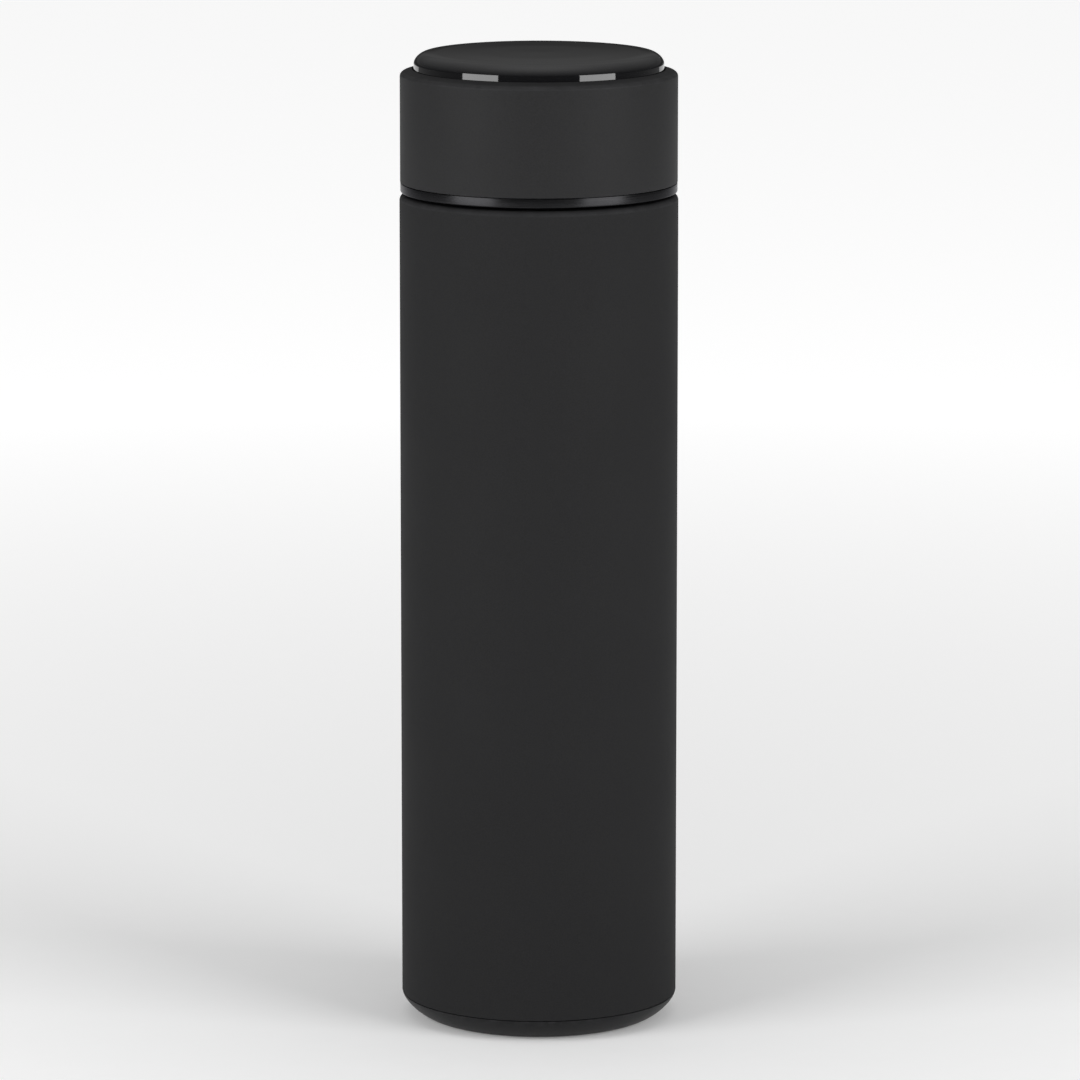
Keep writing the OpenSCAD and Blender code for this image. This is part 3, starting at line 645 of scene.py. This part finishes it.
def powder_paint(name, colour, polished, roughness, shine):
    """Matte paint with a fine grain, a slow drift in sheen and polished edges."""
    finish = Finish(name, colour, roughness, Specular_IOR_Level=shine)
    where = finish.place()
    grain = finish.noise(where, GRAIN, 2.0, 0.55)
    drift = finish.noise(where, DRIFT, 3.0, 0.5)
    touched = finish.noise(where, TOUCHED, 4.0, 0.6)
    handled = finish.spread(touched, (0.35, 0.7), (0.35, 1.0))
    worn = finish.maths("MULTIPLY", finish.stored("edge"), handled)
    ground = finish.mottled(finish.spread(grain), colour, 0.86, 1.14)
    finish.base(finish.mix_colour(worn, ground, polished))
    sheen = finish.spread(drift, out=(roughness - DRIFT_SHEEN, roughness + DRIFT_SHEEN))
    finish.roughness(finish.maths("SUBTRACT", sheen, finish.maths("MULTIPLY", worn, POLISH)))
    finish.bump(grain, GRAIN_DEPTH, 0.55)
    return finish.done()


body_paint = powder_paint("powder_coat_body", colour=(0.0137, 0.0137, 0.0142),
                          polished=(0.021, 0.021, 0.022), roughness=0.70, shine=0.10)
cap_paint = powder_paint("powder_coat_cap", colour=(0.0150, 0.0150, 0.0155),
                         polished=(0.023, 0.023, 0.024), roughness=0.60, shine=0.12)

# %% [markdown]
# ## Semi-gloss paint
# The base cover is sprayed, not powder coated, so it is smoother and shines more. Sprayed
# paint keeps a very shallow waviness called orange peel. The foot wears where it is set down.

# %% Sprayed paint
ORANGE_PEEL = 900
PEEL_DEPTH = 6e-6
SCUFFS = 420


def sprayed_paint(name, colour, worn_colour, roughness, shine):
    """Smooth paint with orange peel and a foot that wears."""
    finish = Finish(name, colour, roughness, Specular_IOR_Level=shine)
    where = finish.place()
    peel = finish.noise(where, ORANGE_PEEL, 1.0, 0.4)
    scuffs = finish.noise(where, SCUFFS, 5.0, 0.7)
    worn = finish.maths("MULTIPLY", finish.stored("edge"), finish.spread(scuffs, (0.45, 0.72)))
    finish.base(finish.mix_colour(worn, colour, worn_colour))
    finish.roughness(finish.spread(scuffs, (0.3, 0.8), (roughness - 0.03, roughness + 0.07)))
    finish.bump(peel, PEEL_DEPTH, 0.5)
    return finish.done()


base_paint = sprayed_paint("sprayed_base", colour=(0.010, 0.010, 0.0105),
                           worn_colour=(0.024, 0.024, 0.025), roughness=0.42, shine=0.12)

# %% [markdown]
# ## Turned and brushed metal
# The trim ring is dark plated steel, and the liner, the cup and the bottoms are bare steel.
# All were finished on a spinning spindle, so the fine lines run round the axis. The noise is
# slow across the piece and fine along the outline, a length that the lathe stored. Taking the
# slow part from x and y, not from the angle, leaves no seam where the turn closes.

# %% Spun metal
LINES_ROUND = 90
LINES_ALONG = 3200
LINE_DEPTH = 1.5e-6
METAL_CLOUD = 130


def spun_metal(name, colour, roughness, contrast=0.12, rim=(1.0, 1.0, 1.0)):
    """Metal with fine lines that run round the axis, tinted towards rim at shallow angles."""
    finish = Finish(name, colour, roughness, metallic=1.0, Specular_Tint=(*rim, 1.0))
    across = finish.add("ShaderNodeSeparateXYZ")
    finish.link(finish.place(scale=(LINES_ROUND, LINES_ROUND, LINES_ROUND)), across.inputs[0])
    along = finish.maths("MULTIPLY", finish.stored("along"), LINES_ALONG)
    where = finish.feed(finish.add("ShaderNodeCombineXYZ"),
                        across.outputs[0], across.outputs[1], along)
    lines = finish.noise(where, 1.0, 3.0, 0.6)
    cloud = finish.noise(finish.place(), METAL_CLOUD, 3.0, 0.55)
    finish.base(finish.mottled(finish.spread(lines), colour, 1 - contrast, 1 + contrast))
    streaks = finish.spread(lines, out=(roughness - 0.05, roughness + 0.05))
    finish.roughness(finish.maths("ADD", streaks, finish.spread(cloud, out=(-0.03, 0.04))))
    finish.bump(lines, LINE_DEPTH, 0.4)
    return finish.done()


trim_metal = spun_metal("dark_trim_metal", (0.019, 0.019, 0.020), roughness=0.26,
                        contrast=0.2, rim=(0.6, 0.6, 0.61))
steel_finish = spun_metal("spun_steel", (0.60, 0.60, 0.61), roughness=0.24)

# %% [markdown]
# ## Piano-black lens
# The touch display hides behind a thick moulded lens, black until it lights up. It is the one
# mirror-like surface of the flask, and wiping has left hairline scratches that only show in a
# reflection. They are long thin noise in two directions, far too shallow to break the gloss.

# %% Gloss lens
HAIRS = ((900, 45, 45), (0.68, 0.75))
CROSS_HAIRS = ((50, 800, 50), (0.70, 0.77))
HAIR_DEPTH = 2e-7
SMEAR = 60


def gloss_lens():
    finish = Finish("gloss_lens", (0.0035, 0.0035, 0.004), 0.035, IOR=1.49,
                    Coat_Weight=0.2, Coat_Roughness=0.02)
    smear = finish.noise(finish.place(), SMEAR, 4.0, 0.6)
    hairs, cross = (finish.spread(finish.noise(finish.place(scale), 1.0, 2.0, 0.5), span)
                    for scale, span in (HAIRS, CROSS_HAIRS))
    finish.roughness(finish.spread(smear, (0.35, 0.75), (0.03, 0.055)))
    finish.bump(finish.maths("ADD", hairs, cross), HAIR_DEPTH, 0.3)
    return finish.done()


lens_black = gloss_lens()

# %% [markdown]
# ## Moulded parts
# Plastic straight from a mould carries the mould's own texture, a fine even grain. Silicone is
# smoother and lets a little light in. Foam is full of closed cells.

# %% Moulded plastic, silicone and foam
FLOW = 70
BLOOM = 260
BLOOM_DEPTH = 5e-6
CELLS = 1400
PIT_DEPTH = 1e-4


def moulded(name, colour, roughness, grain=2400, depth=1.2e-5):
    """Plastic with the fine spark-eroded grain of its mould."""
    finish = Finish(name, colour, roughness)
    where = finish.place()
    grains = finish.noise(where, grain, 2.0, 0.6)
    flow = finish.noise(where, FLOW, 3.0, 0.5)
    finish.base(finish.mottled(finish.spread(flow), colour, 0.9, 1.1))
    finish.roughness(finish.spread(grains, out=(roughness - 0.05, roughness + 0.05)))
    finish.bump(grains, depth, 0.5)
    return finish.done()


def silicone(name, colour):
    """Milky rubber with a faint bloom of dust."""
    finish = Finish(name, colour, 0.42, Subsurface_Weight=0.35, Subsurface_Scale=0.002)
    bloom = finish.noise(finish.place(), BLOOM, 4.0, 0.65)
    finish.base(finish.mottled(finish.spread(bloom, (0.4, 0.7)), colour, 1.0, 1.08))
    finish.roughness(finish.spread(bloom, (0.35, 0.7), (0.38, 0.5)))
    finish.bump(bloom, BLOOM_DEPTH, 0.3)
    return finish.done()


def foam(name, colour):
    """Closed-cell foam, pitted by the cells that the cut has opened."""
    finish = Finish(name, colour, 0.85)
    cells = finish.add("ShaderNodeTexVoronoi", feature="F1")
    cells.inputs["Scale"].default_value = CELLS
    finish.link(finish.place(), cells.inputs["Vector"])
    pits = finish.spread(cells.outputs["Distance"], (0.1, 0.6))
    finish.base(finish.mottled(pits, colour, 0.7, 1.0))
    finish.bump(pits, PIT_DEPTH, 0.6)
    return finish.done()


core_plastic = moulded("moulded_core", (0.030, 0.030, 0.032), 0.48)
plug_plastic = moulded("moulded_plug", (0.022, 0.022, 0.024), 0.42)
chip_plastic = moulded("chip_plastic", (0.018, 0.018, 0.018), 0.5, grain=4000)
display_plastic = moulded("display_plastic", (0.62, 0.62, 0.60), 0.4, grain=3000)
tape_foam = foam("tape_foam", (0.02, 0.02, 0.02))
plug_foam = foam("plug_foam", (0.72, 0.69, 0.58))
seal_silicone = silicone("seal_silicone", (0.66, 0.66, 0.64))
lead_jacket = moulded("lead_jacket", (0.40, 0.02, 0.02), 0.38, grain=2000)

# %% [markdown]
# ## Small metal and board finishes
# Parts that never face the camera still get a finish that says what they are: plated steel
# with drawn streaks, a sintered getter tablet, and a board under green solder mask, with
# copper traces that show as slightly raised lines.

# %% Plated metal, getter, solder glass and circuit board
STREAKS = (300, 300, 4000)
STREAK_DEPTH = 2e-6
PLATE_CLOUD = 320
BOARD_GREEN = (0.010, 0.085, 0.035)
TRACE_GREEN = (0.03, 0.17, 0.06)
TRACES = 260
TRACE_WIDTH = 0.09
TRACE_DEPTH = 3e-5


def plated(name, colour, roughness):
    """Plated metal with faint drawn streaks and a slow cloudiness."""
    finish = Finish(name, colour, roughness, metallic=1.0)
    streaks = finish.noise(finish.place(scale=STREAKS), 1.0, 3.0, 0.6)
    cloud = finish.noise(finish.place(), PLATE_CLOUD, 3.0, 0.55)
    finish.base(finish.mottled(finish.spread(cloud), colour, 0.88, 1.0))
    finish.roughness(finish.spread(streaks, out=(roughness - 0.06, roughness + 0.08)))
    finish.bump(streaks, STREAK_DEPTH, 0.4)
    return finish.done()


def solder_mask():
    """Green lacquer over a laminate board, with traces that stand up a little."""
    finish = Finish("solder_mask", BOARD_GREEN, 0.28, Coat_Weight=0.4)
    traces = finish.add("ShaderNodeTexBrick")
    traces.inputs["Scale"].default_value = TRACES
    traces.inputs["Mortar Size"].default_value = TRACE_WIDTH
    finish.link(finish.place(), traces.inputs["Vector"])
    lines = traces.outputs["Fac"]
    finish.base(finish.mix_colour(lines, BOARD_GREEN, TRACE_GREEN))
    finish.bump(lines, TRACE_DEPTH, 0.5)
    return finish.done()


plated_steel = plated("plated_steel", (0.58, 0.58, 0.60), 0.3)
cell_nickel = plated("cell_nickel", (0.66, 0.65, 0.62), 0.22)
contact_brass = plated("plated_brass", (0.72, 0.55, 0.27), 0.26)
board_laminate = solder_mask()
getter_tablet = moulded("getter_tablet", (0.10, 0.10, 0.105), 0.75, grain=1800, depth=4e-5)
solder_glass = moulded("solder_glass", (0.07, 0.06, 0.05), 0.18, grain=700, depth=1e-5)

# %% [markdown]
# ## The turned shells
# These are the pieces that the eye lives on, so each is turned afresh, with far more steps
# round than the frame needs. Each replaces its node and rides on its body. The corner radius
# is what the process leaves: small on pressed steel, larger on moulded parts and on the
# thickly sprayed cover.

# %% Turn the visible shells
COVER_CORNER = 0.25 * MM
NEAR_WIDEST = 0.9
PAINT_UP_NECK = 1.2 * MM
SHELLS = (
    ("outer_shell", "flask", "body_paint", body_paint, PRESSED_CORNER),
    ("base_cover", "flask", "base_paint", base_paint, COVER_CORNER),
    ("cap_sleeve", "lid", "cap_paint", cap_paint, PRESSED_CORNER),
    ("trim_ring", "lid", "dark_chrome", trim_metal, PRESSED_CORNER),
    ("display_lens", "lid", "lens_black", lens_black, MOULDED_CORNER),
    ("plug_seal", "seal", "silicone", seal_silicone, MOULDED_CORNER),
    ("sensor_cup", "lid", "liner_steel", steel_finish, PRESSED_CORNER),
    ("outer_bottom", "flask", "bare_steel", steel_finish, PRESSED_CORNER),
)


def paint_line():
    """The height where the shell's paint stops, just up the neck from the shoulder."""
    points = outline_of("outer_shell")
    widest = max(p.x for p in points)
    return max(p.y for p in points if p.x > NEAR_WIDEST * widest) + PAINT_UP_NECK


def takes_over(piece, node, body):
    """Hangs a piece on its body and hides the node that it stands for."""
    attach(piece, body)
    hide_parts(node)


for node, body, slot, finish, corner in SHELLS:
    bare = {}
    if node == "outer_shell":
        bare = {"bare_above": paint_line(), "bare_finish": steel_finish}
    points = softened(outline_of(node), corner)
    takes_over(turned(node + "_turned", points, finish, **bare), node, body)

# %% [markdown]
# ## The liner and its thread
# The liner is drawn and spun from one steel tube, and its mouth thread is rolled into the
# wall. The wall is turned like the shells, and the ridge is grown with the thread tree. The
# frame's outline cuts through the ridge once, and that cut gives the ridge's own section. The
# lead is how far the lid rises in a turn, which the frame's coupling holds.

# %% Turn the liner and grow its thread
EMBED = 0.1 * MM
THREAD_STEPS = 300
THREAD_TURNS = 1.5
THREAD_RUN_OUT = 1 / 9
RIDGE_ROUND = 0.2 * MM


def thread_lead():
    coupling = frame["record"]["behaviour"]["couplings"][0]
    return coupling["ratio"] * math.tau


def steel_liner():
    """The liner's wall and the ridge of its thread, as one piece."""
    points = outline_of("inner_liner")
    rim = max(p.y for p in points)
    mouth = min(p.x for p in points if p.y > rim - SAME_PLACE)
    ledge = min(p.y for p in points if abs(p.x - mouth) < SAME_PLACE)
    cut = [p for p in points
           if ledge + SAME_PLACE < p.y < rim - SAME_PLACE and p.x < mouth + SAME_PLACE]
    ridge = [p for p in cut if p.x < mouth - SAME_PLACE]
    wall = softened([p for p in points if p not in cut], PRESSED_CORNER)
    middle = sum(p.y for p in ridge) / len(ridge)
    foot = max(p.y for p in cut) - middle
    crest = max(p.y for p in ridge) - middle
    reach = mouth - min(p.x for p in ridge) + EMBED
    corners = ((0.0, -foot), (-reach, -crest), (-reach, crest), (0.0, foot), (0.0, -foot))
    section = softened([Vector(corner) for corner in corners], RIDGE_ROUND)
    lead = thread_lead()
    print("thread lead, mm:", round(lead / MM, 3), "ridge reach, mm:", round(reach / MM, 3))
    ridge = grown("mouth_thread", outline_mesh("mouth_thread", section), THREAD,
                  Root_radius=mouth + EMBED, Start_height=middle - lead, Start_angle=0.0,
                  Turns=THREAD_TURNS, Lead=lead, Run_out=THREAD_RUN_OUT, Steps=THREAD_STEPS,
                  Finish=steel_finish)
    return joined("inner_liner_spun", [turned("liner_tube", wall, steel_finish), ridge])


takes_over(steel_liner(), "inner_liner", "flask")

# %% [markdown]
# ## Measuring a screw
# Six small steel screws hold the lid together: three pan heads hold the board, and three
# countersunk ones hold the plug. Their place and sizes come from the first of each three in
# the frame, which is picked out by the side of the axis that it stands on.

# %% The first screw of a ring
def first_screw(node):
    """Ring radius, angle, shank and head radius, and the heights of foot, neck and top."""
    points = [v.co for v in nodes[node].data.vertices]
    if node == "plug_screws":
        own = [p for p in points if p.x > 0 and p.y > 0]
    else:
        own = [p for p in points if p.y > abs(p.x)]
    low = Vector(tuple(min(p[i] for p in own) for i in range(3)))
    high = Vector(tuple(max(p[i] for p in own) for i in range(3)))
    centre = (low + high) / 2
    out = [((p.xy - centre.xy).length, p.z) for p in own]
    shank = max(r for r, z in out if z < low.z + SAME_PLACE)
    head = max(r for r, z in out)
    neck = min(z for r, z in out if r > shank + SAME_PLACE)
    return centre.xy.length, math.atan2(centre.y, centre.x), shank, head, low.z, neck, high.z


for node in ("board_screws", "plug_screws"):
    print(node, "head radius, mm:", round(first_screw(node)[3] / MM, 2))

# %% [markdown]
# ## A screw's body
# The body is turned, then a cross slot is cut into its head, as a punch would press it. Two
# boxes and a Boolean modifier for each do it, since the cut has square corners.

# %% Turn a screw and cut its slot
SCREW_STEPS = 48
SCREW_ROUND = 0.35 * MM
SLOT_WIDTH = 0.6 * MM
SLOT_DEPTH = 1.0 * MM
SLOT_SHARE = 0.62


def box_piece(name, width, length, low, high):
    work = bmesh.new()
    bmesh.ops.create_cube(work, size=1.0)
    for v in work.verts:
        v.co = Vector((v.co.x * width, v.co.y * length, (low + high) / 2 + v.co.z * (high - low)))
    mesh = bpy.data.meshes.new(name)
    work.to_mesh(mesh)
    work.free()
    return new_object(name, mesh)


def screw_body(name, outline, head, top):
    """A screw without its thread, from its outline, head radius and top."""
    points = softened([Vector(p) for p in outline], SCREW_ROUND)
    body = turned(name, points, plated_steel, SCREW_STEPS)
    length = 2 * SLOT_SHARE * head
    cutters = [box_piece("slot", x, y, top - SLOT_DEPTH, top + SLOT_DEPTH)
               for x, y in ((SLOT_WIDTH, length), (length, SLOT_WIDTH))]
    for cutter in cutters:
        cut = body.modifiers.new("Slot", "BOOLEAN")
        cut.operation = "DIFFERENCE"
        cut.object = cutter
    body = plain_mesh(body, name)
    for cutter in cutters:
        bpy.data.objects.remove(cutter)
    return body


# %% [markdown]
# ## The screws' threads, and the rings
# The thread tree grows a fine ridge on each screw's core. Then the ring tree sets three copies
# where the frame has its own.

# %% Make the screws
SCREW_COPIES = 3
SCREW_PITCH = 0.8 * MM
THREAD_DEPTH = 0.3 * MM
HALF_RIDGE = 0.3 * SCREW_PITCH
POINT_SHARE = 0.6
RIDGE_START = 0.7
RUN_OUT_TURNS = 0.4


def screws(node, name):
    """A ring of screws for a node."""
    at, angle, shank, head, foot, neck, top = first_screw(node)
    core = shank - THREAD_DEPTH
    countersunk = neck > top - SAME_PLACE
    if countersunk:
        neck = top - (head - shank)
    outline = [(0, foot), (core * POINT_SHARE, foot), (core, foot + core), (core, neck),
               (shank if countersunk else head, neck), (head, top), (0, top)]
    body = screw_body(name + "_body", outline, head, top)
    section = [Vector((-EMBED, -HALF_RIDGE)), Vector((THREAD_DEPTH, 0.0)),
               Vector((-EMBED, HALF_RIDGE)), Vector((-EMBED, -HALF_RIDGE))]
    turns = (neck - foot - core - SCREW_PITCH) / SCREW_PITCH
    ridge = grown(name + "_ridge", outline_mesh(name, section), THREAD, Root_radius=core,
                  Start_height=foot + core * RIDGE_START, Start_angle=0.0, Turns=turns,
                  Lead=SCREW_PITCH, Run_out=RUN_OUT_TURNS / turns,
                  Steps=int(turns * SCREW_STEPS / 2), Finish=plated_steel)
    one = joined(name + "_one", [body, ridge])
    mesh = one.data
    bpy.data.objects.remove(one)
    return grown(name, mesh, RING, Copies=SCREW_COPIES, Radius=at, First_angle=angle,
                 Finish=plated_steel)


for node in ("board_screws", "plug_screws"):
    takes_over(screws(node, node + "_cut"), node, "lid")

# %% [markdown]
# ## The pieces that stay
# The other pieces already have their true shape in the frame: the lid's core and plug, the
# board and what it carries, the cell and its holder, and small seals. They keep their meshes,
# and only their materials change.

# %% Finishes for the frame's own pieces
FINISHES = {
    "seal_bead": solder_glass,
    "getter": getter_tablet,
    "lid_core": core_plastic,
    "lens_tape": tape_foam,
    "circuit_board": board_laminate,
    "led_display": display_plastic,
    "controller_chip": chip_plastic,
    "touch_spring": plated_steel,
    "battery_holder": core_plastic,
    "coin_cell": cell_nickel,
    "battery_contacts": contact_brass,
    "threaded_plug": plug_plastic,
    "insulation_foam": plug_foam,
    "sensor_gasket": seal_silicone,
    "thermistor": chip_plastic,
    "sensor_leads": lead_jacket,
}

for node, finish in FINISHES.items():
    mesh = nodes[node].data
    mesh.materials.clear()
    mesh.materials.append(finish)
print("finished frame pieces:", len(FINISHES))

# %% [markdown]
# ## Floor
# A plain pale sheet of opal acrylic. Its light is painted: the sheet glows by itself, with no lamp
# under it, which keeps the ground near white and the shadow soft. The glow is weaker round the
# foot, a painted shadow that makes the flask look set down. It runs on behind the flask, and
# ends just short of the camera, so the front of a mirror-like side sees the dark room beyond its
# edge.

# %% Make the floor
FLOOR_SIDE = 1.75
FLOOR_BACK = 3.2
FLOOR_FIBRES = 120
# Painted light on the floor: how far out and how strongly it glows, dimmed at the foot as a
# painted shadow.
PAINTED_SHADOW_REACH = (0.05, 0.9)
PAINTED_GLOW_LEVEL = (0.12, 0.6)


def make_floor():
    finish = Finish("opal_acrylic", (0.80, 0.80, 0.80), 0.6, Emission_Color=(1.0, 1.0, 1.0, 1.0))
    where = finish.place()
    fibres = finish.noise(where, FLOOR_FIBRES, 4.0, 0.6)
    finish.base(finish.mix_colour(fibres, (0.79, 0.79, 0.79), (0.81, 0.81, 0.81)))
    # Painted light and painted shadow: the emission is weakest at the foot and strongest far out.
    away = finish.add("ShaderNodeVectorMath", operation="LENGTH")
    finish.link(where, away.inputs[0])
    painted_glow = finish.spread(away.outputs["Value"], PAINTED_SHADOW_REACH, PAINTED_GLOW_LEVEL)
    finish.link(painted_glow, finish.shader.inputs["Emission Strength"])
    corners = ((-FLOOR_SIDE, -FLOOR_SIDE), (FLOOR_SIDE, -FLOOR_SIDE),
               (FLOOR_SIDE, FLOOR_BACK), (-FLOOR_SIDE, FLOOR_BACK))
    mesh = bpy.data.meshes.new("floor")
    mesh.from_pydata([(x, y, 0.0) for x, y in corners], [], [(0, 1, 2, 3)])
    mesh.materials.append(finish.done())
    new_object("floor", mesh)


make_floor()

# %% [markdown]
# ## Soft boxes
# Two soft boxes stand left and right of the camera and give the lens its two bright windows.
# Each is built from a lower and an upper half. The upper one lights but isn't seen in gloss, so
# the lens stays black from behind too, where it would mirror the whole box.

# %% Soft boxes
BOX_AZIMUTH = 55
BOX_DISTANCE = 0.9
BOX_WIDTH = 0.585
BOX_FOOT = 0.01
BOX_SPLIT = 0.42
BOX_TOP = 0.85
BOX_POWER = 9.81


def soft_box(name, azimuth, low, high):
    """An area light that faces the axis. Azimuth 0 is the camera's side, in degrees."""
    light = bpy.data.lights.new(name, "AREA")
    light.shape = "RECTANGLE"
    light.size = BOX_WIDTH
    light.size_y = high - low
    light.energy = BOX_POWER * (high - low)
    lamp = new_object(name, light)
    angle = math.radians(azimuth)
    lamp.location = (math.sin(angle) * BOX_DISTANCE, -math.cos(angle) * BOX_DISTANCE,
                     (low + high) / 2)
    aim = Vector((-lamp.location.x, -lamp.location.y, 0.0))
    lamp.rotation_euler = aim.to_track_quat("-Z", "Y").to_euler()
    lamp.visible_camera = False
    return lamp


for side in (-1, 1):
    for low, high in ((BOX_FOOT, BOX_SPLIT), (BOX_SPLIT, BOX_TOP)):
        half = soft_box("soft_box", side * BOX_AZIMUTH, low, high)
        half.visible_glossy = low < BOX_SPLIT
        print(half.name, "watts:", round(half.data.energy, 2))

# %% [markdown]
# ## The tent
# A large white tent hangs round and over the flask and lights everything evenly. Its foot is a
# black band, so that a glossy top seen at a shallow angle stays black. An HDR picture could
# stand for the tent, but a few bands of grey by height say the same and need no file. Each
# band is a height, from -1 straight down to 1 straight up, and a level of grey.

# %% World
TENT = ((-1.0, 0.16), (-0.06, 0.16), (0.03, 0.04), (0.09, 0.034), (0.122, 0.095), (0.26, 0.11),
        (0.50, 0.24), (0.71, 0.38), (0.87, 0.58), (1.0, 0.90))
BACKDROP = (1.0, 1.0, 1.0, 1.0)


def studio_world():
    """White where the camera looks past the floor. Reflections see the tent's own bands."""
    world = bpy.data.worlds.new("studio")
    world.use_nodes = True
    world.node_tree.nodes.clear()
    sky = NodeTree(world.node_tree)
    looking = sky.add("ShaderNodeTexCoord")
    parts = sky.add("ShaderNodeSeparateXYZ")
    height = sky.add("ShaderNodeMapRange")
    height.inputs["From Min"].default_value = -1.0
    bands = sky.add("ShaderNodeValToRGB")
    stops = bands.color_ramp.elements
    while len(stops) < len(TENT):
        stops.new(0.5)
    for stop, (up, level) in zip(stops, TENT):
        stop.position = (up + 1) / 2
        stop.color = (level, level, level, 1.0)
    path = sky.add("ShaderNodeLightPath")
    dim = sky.add("ShaderNodeBackground")
    white = sky.add("ShaderNodeBackground")
    white.inputs["Color"].default_value = BACKDROP
    mix = sky.add("ShaderNodeMixShader")
    out = sky.add("ShaderNodeOutputWorld")
    for a, b in ((looking.outputs["Generated"], parts.inputs[0]),
                 (parts.outputs[2], height.inputs["Value"]),
                 (height.outputs[0], bands.inputs["Fac"]),
                 (bands.outputs["Color"], dim.inputs["Color"]),
                 (path.outputs["Is Camera Ray"], mix.inputs[0]),
                 (dim.outputs[0], mix.inputs[1]),
                 (white.outputs[0], mix.inputs[2]),
                 (mix.outputs[0], out.inputs["Surface"])):
        sky.link(a, b)
    bpy.context.scene.world = world
    print("bands in the tent:", len(stops))


studio_world()

# %% [markdown]
# ## Camera
# A long lens, a little above the flask and looking slightly down, keeps the sides almost
# parallel. Everything is placed from the frame's own box.

# %% Camera
DISTANCE = 1.55815
SIDE_STEP = 0.00024
EYE_HEIGHT = 0.39557
PITCH = 10.2564
FOCAL_LENGTH = 224.41
SENSOR = 36


def make_camera():
    low, high = cad_box
    centre = (Vector(low) + Vector(high)) / 2
    data = bpy.data.cameras.new("camera")
    data.sensor_width = SENSOR
    data.lens = FOCAL_LENGTH
    camera = new_object("camera", data)
    camera.location = (centre.x + SIDE_STEP, centre.y - DISTANCE, low[2] + EYE_HEIGHT)
    camera.rotation_euler = (math.radians(90 - PITCH), 0.0, 0.0)
    bpy.context.scene.camera = camera
    print("camera at", tuple(round(c, 3) for c in camera.location))


make_camera()
bpy.context.scene.view_settings.view_transform = "Standard"
